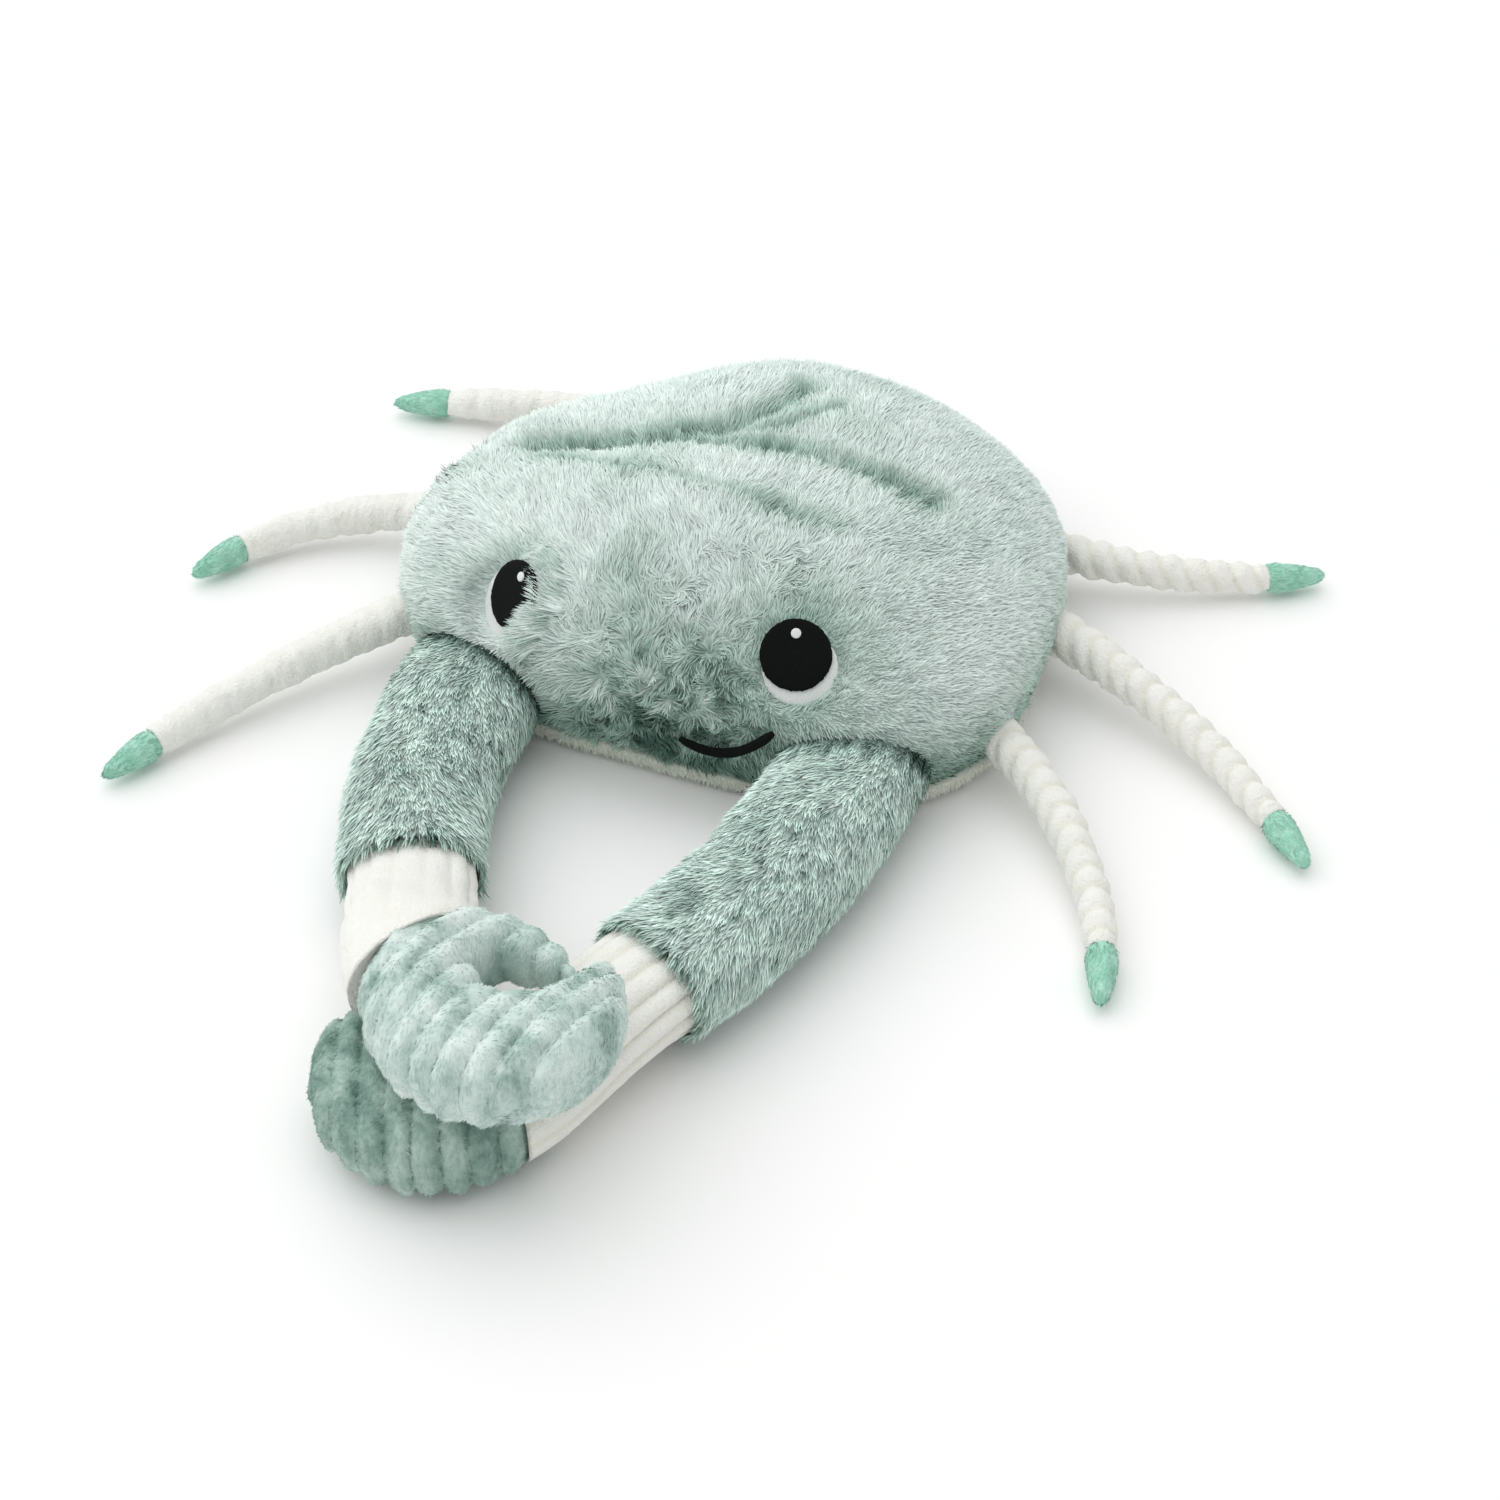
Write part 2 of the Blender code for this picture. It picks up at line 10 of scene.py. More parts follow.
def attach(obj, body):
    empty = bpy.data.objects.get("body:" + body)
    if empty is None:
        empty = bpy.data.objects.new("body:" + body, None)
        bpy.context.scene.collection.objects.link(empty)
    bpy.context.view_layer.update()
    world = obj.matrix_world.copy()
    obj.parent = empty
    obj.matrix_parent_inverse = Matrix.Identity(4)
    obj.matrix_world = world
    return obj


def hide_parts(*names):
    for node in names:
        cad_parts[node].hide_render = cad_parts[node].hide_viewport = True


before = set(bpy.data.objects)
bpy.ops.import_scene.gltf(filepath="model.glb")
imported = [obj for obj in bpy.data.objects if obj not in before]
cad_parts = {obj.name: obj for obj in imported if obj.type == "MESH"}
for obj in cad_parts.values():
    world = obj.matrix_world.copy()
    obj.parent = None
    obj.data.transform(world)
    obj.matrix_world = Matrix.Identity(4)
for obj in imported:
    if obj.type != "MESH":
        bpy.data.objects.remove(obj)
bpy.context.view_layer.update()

scene = bpy.context.scene
scene.view_settings.view_transform = "Standard"

# The view and the studio. A pale floor without an edge, one broad soft lamp from behind the
# crab's right side and an even white room, seen from above its front left.
VIEW_TARGET = Vector((0.027, -0.090, 0.0))
VIEW_AZIMUTH = math.radians(17)
VIEW_ELEVATION = math.radians(43)
VIEW_DISTANCE = 1.35
back = Vector((
    math.sin(VIEW_AZIMUTH) * math.cos(VIEW_ELEVATION),
    -math.cos(VIEW_AZIMUTH) * math.cos(VIEW_ELEVATION),
    math.sin(VIEW_ELEVATION)))
camera_data = bpy.data.cameras.new("view")
camera_data.sensor_width = 36
camera_data.lens = 75.35
camera = bpy.data.objects.new("view", camera_data)
camera.location = VIEW_TARGET + back * VIEW_DISTANCE
camera.rotation_euler = back.to_track_quat("Z", "Y").to_euler()
scene.collection.objects.link(camera)
scene.camera = camera


class Wire:
    """An output of a shader node that takes Python's arithmetic."""

    def __init__(self, finish, socket):
        self.finish = finish
        self.socket = socket

    def maths(self, operation, first, second=0.0):
        return self.finish.add("Math", {"operation": operation}, {0: first, 1: second})

    def __add__(self, other):
        return self.maths("ADD", self, other)

    def __radd__(self, other):
        return self.maths("ADD", other, self)

    def __sub__(self, other):
        return self.maths("SUBTRACT", self, other)

    def __rsub__(self, other):
        return self.maths("SUBTRACT", other, self)

    def __mul__(self, other):
        return self.maths("MULTIPLY", self, other)

    def __rmul__(self, other):
        return self.maths("MULTIPLY", other, self)

    def __truediv__(self, other):
        return self.maths("DIVIDE", self, other)

    def __rtruediv__(self, other):
        return self.maths("DIVIDE", other, self)

    def __pow__(self, other):
        return self.maths("POWER", self, other)

    def __rpow__(self, other):
        return self.maths("POWER", other, self)

    def ramp(self, low, high):
        """0 at low and 1 at high, smooth between."""
        return self.finish.add("MapRange", {"interpolation_type": "SMOOTHSTEP"},
                               {0: self, 1: low, 2: high, 3: 0.0, 4: 1.0})


class Finish:
    """The nodes of one material, or of the room."""

    def __init__(self, owner, shader="Principled BSDF"):
        owner.use_nodes = True
        self.owner = owner
        self.tree = owner.node_tree
        self.shader = self.tree.nodes[shader]

    def add(self, kind, settings, values, output=0):
        """Add a node. Its settings come first, then the values or wires of its sockets."""
        node = self.tree.nodes.new("ShaderNode" + kind)
        for name, value in settings.items():
            if name == "stops":
                while len(node.color_ramp.elements) < len(value):
                    node.color_ramp.elements.new(0.5)
                for element, (place, color) in zip(node.color_ramp.elements, value):
                    element.position = place
                    element.color = (*color, 1.0)
            else:
                setattr(node, name, value)
        for key, value in values.items():
            self.join(value, node.inputs[key])
        return Wire(self, node.outputs[output])

    def join(self, value, socket):
        if isinstance(value, Wire):
            self.tree.links.new(value.socket, socket)
        elif socket.type == "RGBA":
            socket.default_value = (*value[:3], 1.0)
        else:
            socket.default_value = value

    def set(self, sockets):
        """Give the shader's own sockets a value or a wire."""
        for name, value in sockets.items():
            self.join(value, self.shader.inputs[name])

    def place(self):
        return self.add("TexCoord", {}, {}, "Object")

    def cloud(self, size, detail=2.0, roughness=0.5, vector=None):
        """Noise from 0 to 1 whose lumps measure about size in metres."""
        return self.add("TexNoise", {}, {"Vector": vector or self.place(), "Scale": 1 / size,
                                         "Detail": detail, "Roughness": roughness})

    def attribute(self, name, output="Fac"):
        return self.add("Attribute", {"attribute_name": name}, {}, output)

    def blend(self, factor, first, second):
        return self.add("Mix", {"data_type": "RGBA"}, {0: factor, 6: first, 7: second}, 2)

    def times(self, color, value):
        """A colour times a number."""
        return self.add("VectorMath", {"operation": "SCALE"}, {0: color, "Scale": value})

    def bump(self, height, distance, strength=1.0):
        return self.add("Bump", {}, {"Height": height, "Distance": distance, "Strength": strength})


ROOM_LIGHT = 0.56
room = bpy.data.worlds.new("white_room")
scene.world = room
air = Finish(room, "Background")
seen = air.add("LightPath", {}, {}, "Is Camera Ray")
air.set({"Color": (1.0, 1.0, 1.0), "Strength": seen * (1 - ROOM_LIGHT) + ROOM_LIGHT})

lamp_data = bpy.data.lights.new("soft_lamp", "SUN")
lamp_data.energy = 1.75
lamp_data.angle = math.radians(95)
lamp = bpy.data.objects.new("soft_lamp", lamp_data)
lamp.rotation_euler = Vector((-0.42, 0.12, 1.0)).to_track_quat("Z", "Y").to_euler()
scene.collection.objects.link(lamp)


def new_piece(name, form):
    """A bmesh becomes a named object at the origin."""
    mesh = bpy.data.meshes.new(name)
    form.to_mesh(mesh)
    form.free()
    mesh.shade_smooth()
    piece = bpy.data.objects.new(name, mesh)
    scene.collection.objects.link(piece)
    return piece


floor_form = bmesh.new()
bmesh.ops.create_grid(floor_form, x_segments=2, y_segments=2, size=8.0,
                      matrix=Matrix.Translation((0, 0, -0.0006)))
floor = new_piece("floor", floor_form)
floor_paint = Finish(bpy.data.materials.new("floor_paint"))
floor_paint.set({"Base Color": (0.97, 0.97, 0.965), "Roughness": 0.9})
floor.data.materials.append(floor_paint.owner)

# The shell. A stuffed bag of dense grey-green fur with an 8 mm nap, pale at its tips and coloured
# darker towards its roots as painted shade deep in the pile. It is sewn from panels, slack on top,
# where it folds, and ruffled between the eyes.
# The bag is drawn in, pressed out again by its stuffing, and then the pile is planted on it.
SHELL_SLACK = 0.0016
PILE_DEPTH = 0.0022
SHELL_NAP = 0.0062
EYE_CLEAR = 0.0157
MOUTH_CLEAR = 0.0036


def keep_result(piece):
    """Replace a piece's mesh by what its modifiers give, and take them off."""
    bpy.context.view_layer.update()
    evaluated = piece.evaluated_get(bpy.context.evaluated_depsgraph_get())
    mesh = bpy.data.meshes.new_from_object(evaluated)
    piece.modifiers.clear()
    piece.data = mesh
    mesh.name = piece.name


def even(piece, voxel, rounds):
    """Small even faces all over a piece, and softened facets."""
    remesh = piece.modifiers.new("even", "REMESH")
    remesh.mode = "VOXEL"
    remesh.voxel_size = voxel
    remesh.use_smooth_shade = True
    smooth = piece.modifiers.new("soft", "SMOOTH")
    smooth.factor = 0.5
    smooth.iterations = rounds
    keep_result(piece)


def cad_copy(name, node):
    """A copy of a CAD solid with its faces joined."""
    form = bmesh.new()
    form.from_mesh(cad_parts[node].data)
    bmesh.ops.remove_doubles(form, verts=form.verts[:], dist=0.00001)
    return new_piece(name, form)


def stuff(piece, sewn_at, cap):
    """Press the cloth out from inside for twenty steps, held where it is sewn, up to the cap."""
    start = [vertex.co.copy() for vertex in piece.data.vertices]
    sewn = piece.vertex_groups.new(name="sewn")
    for vertex in piece.data.vertices:
        sewn.add([vertex.index], sewn_at(vertex.co), "REPLACE")
    press = piece.modifiers.new("stuffing", "CLOTH")
    press.settings.quality = 5
    press.settings.use_pressure = True
    press.settings.uniform_pressure_force = 4.0
    press.settings.effector_weights.gravity = 0.0
    press.settings.vertex_group_mass = "sewn"
    for step in range(1, 21):
        scene.frame_set(step)
    keep_result(piece)
    scene.frame_set(1)
    piece.vertex_groups.clear()
    longest = 0.0
    for vertex, old in zip(piece.data.vertices, start):
        move = vertex.co - old
        longest = max(longest, move.length)
        if move.length > cap:
            vertex.co = old + move * (cap / move.length)
    print("stuffed", piece.name, "longest move %.1f mm" % (longest * 1000))


def cad_points(node):
    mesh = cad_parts[node].data
    points = np.empty(len(mesh.vertices) * 3)
    mesh.vertices.foreach_get("co", points)
    return points.reshape(-1, 3)


def patch_frame(node):
    """Middle and facing of a flat embroidered patch of the CAD model."""
    points = cad_points(node)
    middle = (points.min(axis=0) + points.max(axis=0)) / 2
    facing = np.linalg.svd(points - points.mean(axis=0), full_matrices=False)[2][2]
    facing = Vector(facing)
    if facing.z < 0:
        facing.negate()
    return Vector(middle), facing.normalized()


EYES = {side: patch_frame("eye_white_" + side) for side in ("left", "right")}
mouth_cloud = cad_points("mouth")
MOUTH_STOPS = []
mouth_y = np.polyfit(mouth_cloud[:, 0], mouth_cloud[:, 1], 3)
mouth_z = np.polyfit(mouth_cloud[:, 0], mouth_cloud[:, 2], 3)
for x in np.linspace(mouth_cloud[:, 0].min() + 0.001, mouth_cloud[:, 0].max() - 0.001, 21):
    lift = 0.0012 + 0.085 * (x - mouth_cloud[:, 0].mean())
    MOUTH_STOPS.append(Vector((x, np.polyval(mouth_y, x), np.polyval(mouth_z, x)))
                       + Vector((0, 0.53, 0.85)) * lift)


def mouth_distance(place):
    return min((place - stop).length for stop in MOUTH_STOPS)


def eye_distance(place):
    return min((place - middle).length for middle, facing in EYES.values())


# The pile is parted round the middle of the white disc and the black one together
DISCS = []
for side, (middle, facing) in EYES.items():
    black_middle = patch_frame("eye_pupil_" + side)[0]
    DISCS += [middle, black_middle]
    EYES[side] = ((middle + black_middle) / 2, facing)
MUZZLE_WAY = Vector((0.80, -0.25, 0.54))
BROW_WAY = Vector((-0.22, 0.72, 0.66))


def swell(distance, spread):
    return math.exp(-((distance / spread) ** 2))


def draw_in(piece, depth_at):
    """Move each point in along its normal by the depth of the pile there."""
    form = bmesh.new()
    form.from_mesh(piece.data)
    form.normal_update()
    moves = [(v, v.normal * depth_at(v.co, v.normal)) for v in form.verts]
    for vertex, move in moves:
        vertex.co -= move
    form.normal_update()
    form.to_mesh(piece.data)
    form.free()


def store(piece, name, kind, values):
    """Keep a value for each point of a piece."""
    layer = piece.data.attributes.new(name, kind, "POINT")
    flat = np.array(values, dtype=np.float32).ravel()
    layer.data.foreach_set("vector" if kind == "FLOAT_VECTOR" else "value", flat)


def brush(piece, flow_at, nap_at, shade_at, strand_depth=0.0):
    """Comb a skin: which way its pile lies at each point, how long it is and how bright it is coloured, painted
    light and shade included.

    Strands run along the pile, as narrow lighter and darker streaks that may also stand out."""
    combs, naps, shades, strands, moves = [], [], [], [], []
    for vertex in piece.data.vertices:
        place, normal = vertex.co, vertex.normal.copy()
        flow, lean = flow_at(place, normal)
        along = flow - normal * flow.dot(normal)
        if along.length < 1e-6:
            along = normal.orthogonal()
        along.normalize()
        combs.append(along * math.cos(lean) + normal * math.sin(lean))
        naps.append(nap_at(place, normal))
        shades.append(shade_at(place, normal))
        streak = sum(noise.noise((place + along * step * 0.0009) * 460) for step in range(-3, 4))
        strands.append(max(0.0, min(1.0, 0.5 + streak * 0.26)))
        moves.append(normal * ((strands[-1] - 0.5) * strand_depth))
    if strand_depth:
        for vertex, move in zip(piece.data.vertices, moves):
            vertex.co += move
    store(piece, "comb", "FLOAT_VECTOR", combs)
    store(piece, "nap", "FLOAT", naps)
    store(piece, "shade", "FLOAT", shades)
    store(piece, "strand", "FLOAT", strands)


def pile_tree():
    """Geometry Nodes that plant combed, pointed tufts all over a skin."""
    tree = bpy.data.node_groups.new("planted_pile", "GeometryNodeTree")
    tree.interface.new_socket("Skin", in_out="INPUT", socket_type="NodeSocketGeometry")
    keys = {}
    for name, kind in (("Density", "Float"), ("Length", "Float"), ("Width", "Float"),
                       ("Stray", "Float"), ("Seed", "Int"), ("Cloth", "Material")):
        keys[name] = tree.interface.new_socket(
            name, in_out="INPUT", socket_type="NodeSocket" + kind).identifier
    tree.interface.new_socket("Pile", in_out="OUTPUT", socket_type="NodeSocketGeometry")

    def add(kind, settings, values):
        node = tree.nodes.new(kind)
        for name, value in settings.items():
            setattr(node, name, value)
        for key, value in values.items():
            if isinstance(value, bpy.types.NodeSocket):
                tree.links.new(value, node.inputs[key])
            else:
                node.inputs[key].default_value = value
        return node

    def maths(operation, first, second):
        return add("ShaderNodeMath", {"operation": operation}, {0: first, 1: second}).outputs[0]

    given = add("NodeGroupInput", {}, {}).outputs
    nap = add("GeometryNodeInputNamedAttribute", {"data_type": "FLOAT"}, {"Name": "nap"}).outputs[0]
    comb = add("GeometryNodeInputNamedAttribute", {"data_type": "FLOAT_VECTOR"},
               {"Name": "comb"}).outputs[0]
    density = maths("MULTIPLY", given["Density"], maths("GREATER_THAN", nap, 0.05))
    spots = add("GeometryNodeDistributePointsOnFaces", {"distribute_method": "RANDOM"},
                {"Mesh": given["Skin"], "Density": density, "Seed": given["Seed"]})
    ground = add("GeometryNodeStoreNamedAttribute", {"data_type": "FLOAT_VECTOR", "domain": "POINT"},
                 {"Geometry": spots.outputs["Points"], "Name": "ground",
                  "Value": spots.outputs["Normal"]}).outputs[0]
    tone = add("FunctionNodeRandomValue", {"data_type": "FLOAT"},
               {2: 0.0, 3: 1.0, "Seed": 3}).outputs[1]
    toned = add("GeometryNodeStoreNamedAttribute", {"data_type": "FLOAT", "domain": "POINT"},
                {"Geometry": ground, "Name": "tone", "Value": tone}).outputs[0]

    stray = add("FunctionNodeRandomValue", {"data_type": "FLOAT_VECTOR"},
                {0: (-1, -1, -1), 1: (1, 1, 1), "Seed": 11}).outputs[0]
    stray = add("ShaderNodeVectorMath", {"operation": "SCALE"},
                {0: stray, "Scale": given["Stray"]}).outputs[0]
    lean = add("ShaderNodeVectorMath", {"operation": "ADD"}, {0: comb, 1: stray}).outputs[0]
    aim = add("FunctionNodeAlignRotationToVector", {"axis": "Z"}, {"Vector": lean}).outputs[0]
    aim = add("FunctionNodeAlignRotationToVector", {"axis": "X", "pivot_axis": "Z"},
              {"Rotation": aim, "Vector": spots.outputs["Normal"]}).outputs[0]

    tuft = add("GeometryNodeMeshCone", {"fill_type": "NGON"},
               {"Vertices": 3, "Side Segments": 1, "Radius Top": 0.0, "Radius Bottom": 0.5,
                "Depth": 1.0}).outputs["Mesh"]
    height = add("GeometryNodeInputPosition", {}, {}).outputs[0]
    height = add("ShaderNodeSeparateXYZ", {}, {0: height}).outputs[2]
    tuft = add("GeometryNodeStoreNamedAttribute", {"data_type": "FLOAT", "domain": "POINT"},
               {"Geometry": tuft, "Name": "reach", "Value": height}).outputs[0]

    uneven = add("FunctionNodeRandomValue", {"data_type": "FLOAT"},
                 {2: 0.65, 3: 1.15, "Seed": 7}).outputs[1]
    long = maths("MULTIPLY", maths("MULTIPLY", given["Length"], nap), uneven)
    wide = maths("MULTIPLY", given["Width"], uneven)
    size = add("ShaderNodeCombineXYZ", {}, {"X": maths("MULTIPLY", wide, 0.45), "Y": wide, "Z": long})
    planted = add("GeometryNodeInstanceOnPoints", {},
                  {"Points": toned, "Instance": tuft, "Rotation": aim,
                   "Scale": size.outputs[0]}).outputs[0]
    real = add("GeometryNodeRealizeInstances", {}, {"Geometry": planted}).outputs[0]
    dressed = add("GeometryNodeSetMaterial", {}, {"Geometry": real, "Material": given["Cloth"]})
    add("NodeGroupOutput", {}, {0: dressed.outputs[0]})
    return tree, keys


PILE_TREE, PILE_KEYS = pile_tree()


def plant(name, skin, finish, density, length, width, stray, seed):
    """Pile on a skin, density being the tufts on a square millimetre."""
    pile = bpy.data.objects.new(name, skin.data.copy())
    scene.collection.objects.link(pile)
    planting = pile.modifiers.new("pile", "NODES")
    planting.node_group = PILE_TREE
    for key, value in (("Density", density * 1e6), ("Length", length), ("Width", width),
                       ("Stray", stray), ("Seed", seed), ("Cloth", finish.owner)):
        planting[PILE_KEYS[key]] = value
    keep_result(pile)
    print("pile", name, len(pile.data.polygons), "faces")
    return pile


FACE_MIDDLE = Vector((0.004, -0.118, 0.050))
CREASE_LINES = (
    (Vector((-0.098, 0.0)), Vector((-0.024, 0.028)), Vector((0.079, 0.004)), 0.0),
    (Vector((-0.035, 0.021)), Vector((-0.006, 0.030)), Vector((0.004, 0.066)), 0.0),
    (Vector((-0.090, -0.012)), Vector((-0.020, -0.027)), Vector((0.046, -0.035)), 0.0036),
    (Vector((-0.010, 0.026)), Vector((0.012, 0.036)), Vector((0.026, 0.052)), 0.0030),
)
CREASE_STOPS = []
for start, middle, end, shallow in CREASE_LINES:
    for t in np.linspace(0, 1, 21):
        stop = start * (1 - t) ** 2 + middle * 2 * t * (1 - t) + end * t ** 2
        CREASE_STOPS.append((stop, shallow))


def crease_distance(place):
    """Distance on plan from the folds of the slack top, a little more from the shallow ones."""
    return min((place.xy - stop).length + shallow for stop, shallow in CREASE_STOPS)


def face_share(place):
    return swell((place - FACE_MIDDLE).length, 0.055)


def shell_sewn(place):
    """Where the stuffing can't press the cloth out: at the seam, the patches and the folds."""
    hem = max(0.0, min(1.0, (0.022 - place.z) / 0.008))
    held = max(swell(eye_distance(place), 0.020), swell(mouth_distance(place), 0.010), hem)
    held = max(held, 0.9 * swell(crease_distance(place), 0.008) if place.z > 0.06 else 0.0)
    return min(1.0, held + 0.25 * max(0.0, noise.noise(place * 55)))


def shell_depth(place, normal):
    """How deep the cloth of the shell lies under the tips of its pile."""
    clear = swell(eye_distance(place), 0.021)
    parted = 0.0014 * swell(mouth_distance(place), 0.0055)
    lump = noise.noise(place * 45) * 0.0010 + noise.noise(place * 110 + Vector((3, 7, 1))) * 0.0005
    ruffle = noise.noise(place * 95) * 0.0024 * face_share(place)
    top = 1.0 if place.z > 0.055 else 0.0
    fold = 0.0036 * top * swell(crease_distance(place), 0.0048)
    under = max(0.0, min(1.0, (normal.z + 0.97) / 0.3))
    muzzle = 0.0036 * brow_share("right", place - EYES["right"][0])
    return (PILE_DEPTH * (1 - 0.85 * clear) + (lump + ruffle) * (1 - clear) + fold + parted - muzzle) * under


def brow_share(side, away):
    """The muzzle's pile falls over the inner edge of the eye on the crab's right."""
    inner = away.normalized().dot(MUZZLE_WAY)
    return max(0.0, min(1.0, 3.0 * (inner - 0.12))) * swell(away.length - 0.019, 0.007) if side == "right" else 0.0


def back_share(place):
    """The pile is worn short and upright towards the crab's left and its back."""
    return max(0.0, min(1.0, (place.x - 0.030) / 0.05))


def shell_flow(place, normal):
    """Combed away from the face all round, in soft swirls, and ruffled in the face."""
    ruffle = face_share(place)
    flow = (place - FACE_MIDDLE) * (1.6 / ((place - FACE_MIDDLE).length + 0.030))
    flow += noise.noise_vector(place * 16) * 0.9
    flow += noise.noise_vector(place * 60) * (0.8 + 1.2 * ruffle)
    flow += noise.noise_vector(place * 150) * (0.9 + 2.6 * ruffle)
    lean = 19 + 22 * ruffle + 20 * back_share(place)
    for side, (middle, facing) in EYES.items():
        away = place - middle
        over = brow_share(side, away)
        flow += away.normalized() * (3.0 * swell(away.length, 0.024) - 12.0 * over)
        lean += 15 * over
    stop = min(MOUTH_STOPS, key=lambda stop: (place - stop).length)
    flow += (place - stop).normalized() * 3.0 * swell((place - stop).length, 0.009)
    return flow, math.radians(lean)


def shell_nap(place, normal):
    grown = MOUTH_CLEAR if place.x > MOUTH_STOPS[4].x else 0.0010
    if mouth_distance(place) < grown or normal.z < -0.7:
        return 0.0
    if min((place - middle).length for middle in DISCS) < EYE_CLEAR:
        return 0.0
    near = max(swell(eye_distance(place), 0.026), 1.2 * swell(mouth_distance(place), 0.009))
    over = brow_share("right", place - EYES["right"][0])
    return (1.0 - 0.45 * near - 0.10 * face_share(place)) * (1 - 0.45 * back_share(place)) + 0.5 * over


def shell_shade(place, normal):
    """How bright the pile is coloured: pale on top, darker in the face partly for its ruffled pile and partly as
    painted shade, with painted shade in the folds, low down, round the eyes and low on the crab's left side.
    """
    # The face is darker partly for its ruffled pile and partly as painted shade.
    face = swell((place - FACE_MIDDLE - Vector((0.002, -0.012, -0.008))).length, 0.042)
    # Painted shade in the folds of the top.
    fold = swell(crease_distance(place), 0.0085) if place.z > 0.055 else 0.0
    # Painted shade low down.
    low = max(0.0, 1.0 - place.z / 0.050)
    # Painted shadow above each eye.
    eye_shade = swell(eye_distance(place + Vector((0, -0.008, -0.014))), 0.014)
    broad = noise.noise(place * 22) * 0.12 + noise.noise(place * 75) * (0.06 + 0.50 * face)
    broad += noise.noise(place * 190) * (0.06 + 0.60 * face)
    # Painted shade low on the crab's left side, away from the lamp.
    low += 0.45 * max(0.0, min(1.0, (place.x - 0.05) / 0.06)) * max(0.0, 1.0 - place.z / 0.055)
    fold *= 0.90 + 0.8 * noise.noise(place * 38)
    # Painted shade round the crab's left eye.
    eye_shade += 0.75 * swell((place - EYES["left"][0] - Vector((0.010, 0, -0.004))).length, 0.040)
    broad += 0.30 * min(0.0, noise.noise(place * 30 + Vector((5, 2, 0)))) * (1 - back_share(place))
    return max(0.0, min(1.0, 0.98 - 0.70 * face - 0.60 * fold - 0.70 * low - 0.42 * eye_shade + broad))


def pile_color(finish, stops, streak):
    """Colour of a skin or its pile, by its stored shade there (its own tone with painted light and shade), in
    streaks and soft patches.
    """
    shade = finish.attribute("shade")
    color = finish.add("ValToRGB", {"stops": stops}, {0: shade})
    level = 1.0 + (finish.attribute("strand") - 0.5) * streak * (1.3 - shade)
    level = level + (finish.cloud(0.010, 2.0) - 0.5) * 0.25
    return shade, color, level


def pile_finish(name, stops, streak, root, ground_share):
    """Pile whose colour darkens towards its roots as painted shade deep in the pile, most where its shade is dark,
    lit mostly as the skin under it.
    """
    finish = Finish(bpy.data.materials.new(name))
    shade, color, level = pile_color(finish, stops, streak)
    deep = 1.0 - finish.attribute("reach").ramp(0.0, 0.8)
    level = level + (finish.attribute("tone") - 0.5) * streak * 0.6
    # Painted shade towards the roots of the pile, deeper where the stored shade is dark.
    level = level * (1.06 - deep * root * (1.15 - shade))
    ground = finish.attribute("ground", "Vector")
    true = finish.add("NewGeometry", {}, {}, "Normal")
    lit = finish.add("Mix", {"data_type": "VECTOR"}, {0: ground_share, 4: true, 5: ground}, 1)
    lit = finish.add("VectorMath", {"operation": "NORMALIZE"}, {0: lit})
    finish.set({"Base Color": finish.times(color, level), "Roughness": 0.95, "Normal": lit,
                "Specular IOR Level": 0.0})
    return finish


def skin_finish(name, stops, streak, level):
    """The cloth under the pile, coloured a little darker than what grows on it as painted shade under the pile."""
    finish = Finish(bpy.data.materials.new(name))
    shade, color, share = pile_color(finish, stops, streak)
    weave = finish.cloud(0.0012, 1.0)
    # A level below 1 darkens the cloth as painted shade under the pile.
    finish.set({"Base Color": finish.times(color, share * level), "Roughness": 0.95,
                "Normal": finish.bump(weave, 0.0006), "Specular IOR Level": 0.15})
    return finish


# Shell colours from the darkest painted shade and the dark face at 0 to the pale top at 1.
SHELL_STOPS = ((0.0, (0.15, 0.26, 0.215)), (0.45, (0.48, 0.66, 0.585)), (1.0, (0.82, 0.92, 0.88)))
shell_fur = pile_finish("shell_fur", SHELL_STOPS, 0.40, 0.75, 0.50)
shell_cloth = skin_finish("shell_cloth", SHELL_STOPS, 0.42, 0.78)

shell = cad_copy("shell_skin", "carapace")
even(shell, 0.0042, 3)
draw_in(shell, lambda place, normal: SHELL_SLACK * max(0.0, min(1.0, (normal.z + 0.97) / 0.3)))
stuff(shell, shell_sewn, SHELL_SLACK)
even(shell, 0.0019, 4)
draw_in(shell, shell_depth)
SHELL_SURFACE = BVHTree.FromPolygons(
    [v.co.copy() for v in shell.data.vertices], [tuple(p.vertices) for p in shell.data.polygons])
brush(shell, shell_flow, shell_nap, shell_shade, 0.0011)
shell.data.materials.clear()
shell.data.materials.append(shell_cloth.owner)
for index in range(2):
    fur = plant("shell_fur_%d" % (index + 1), shell, shell_fur, 0.44, SHELL_NAP, 0.0012, 0.20, 20 + index)
    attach(fur, "root")
    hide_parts("carapace")
form = bmesh.new()
form.from_mesh(shell.data)
bmesh.ops.delete(form, context="VERTS", geom=[
    v for v in form.verts if brow_share("right", v.co - EYES["right"][0]) < 0.25
    or min((v.co - middle).length for middle in DISCS) < EYE_CLEAR])
lock_skin = new_piece("muzzle_lock_skin", form)
for layer in ("comb", "nap", "shade", "strand"):
    lock_skin.data.attributes.remove(lock_skin.data.attributes[layer])
brush(lock_skin, lambda place, normal: (noise.noise_vector(place * 150) * 0.4 - MUZZLE_WAY, math.radians(28)),
      lambda place, normal: 1 - 0.6 * max(0.0, min(1.0, ((place - EYES["right"][0]).dot(BROW_WAY) - 0.008) / 0.010)),
      lambda place, normal: shell_shade(place, normal) + 0.8 * noise.noise(place * 300))
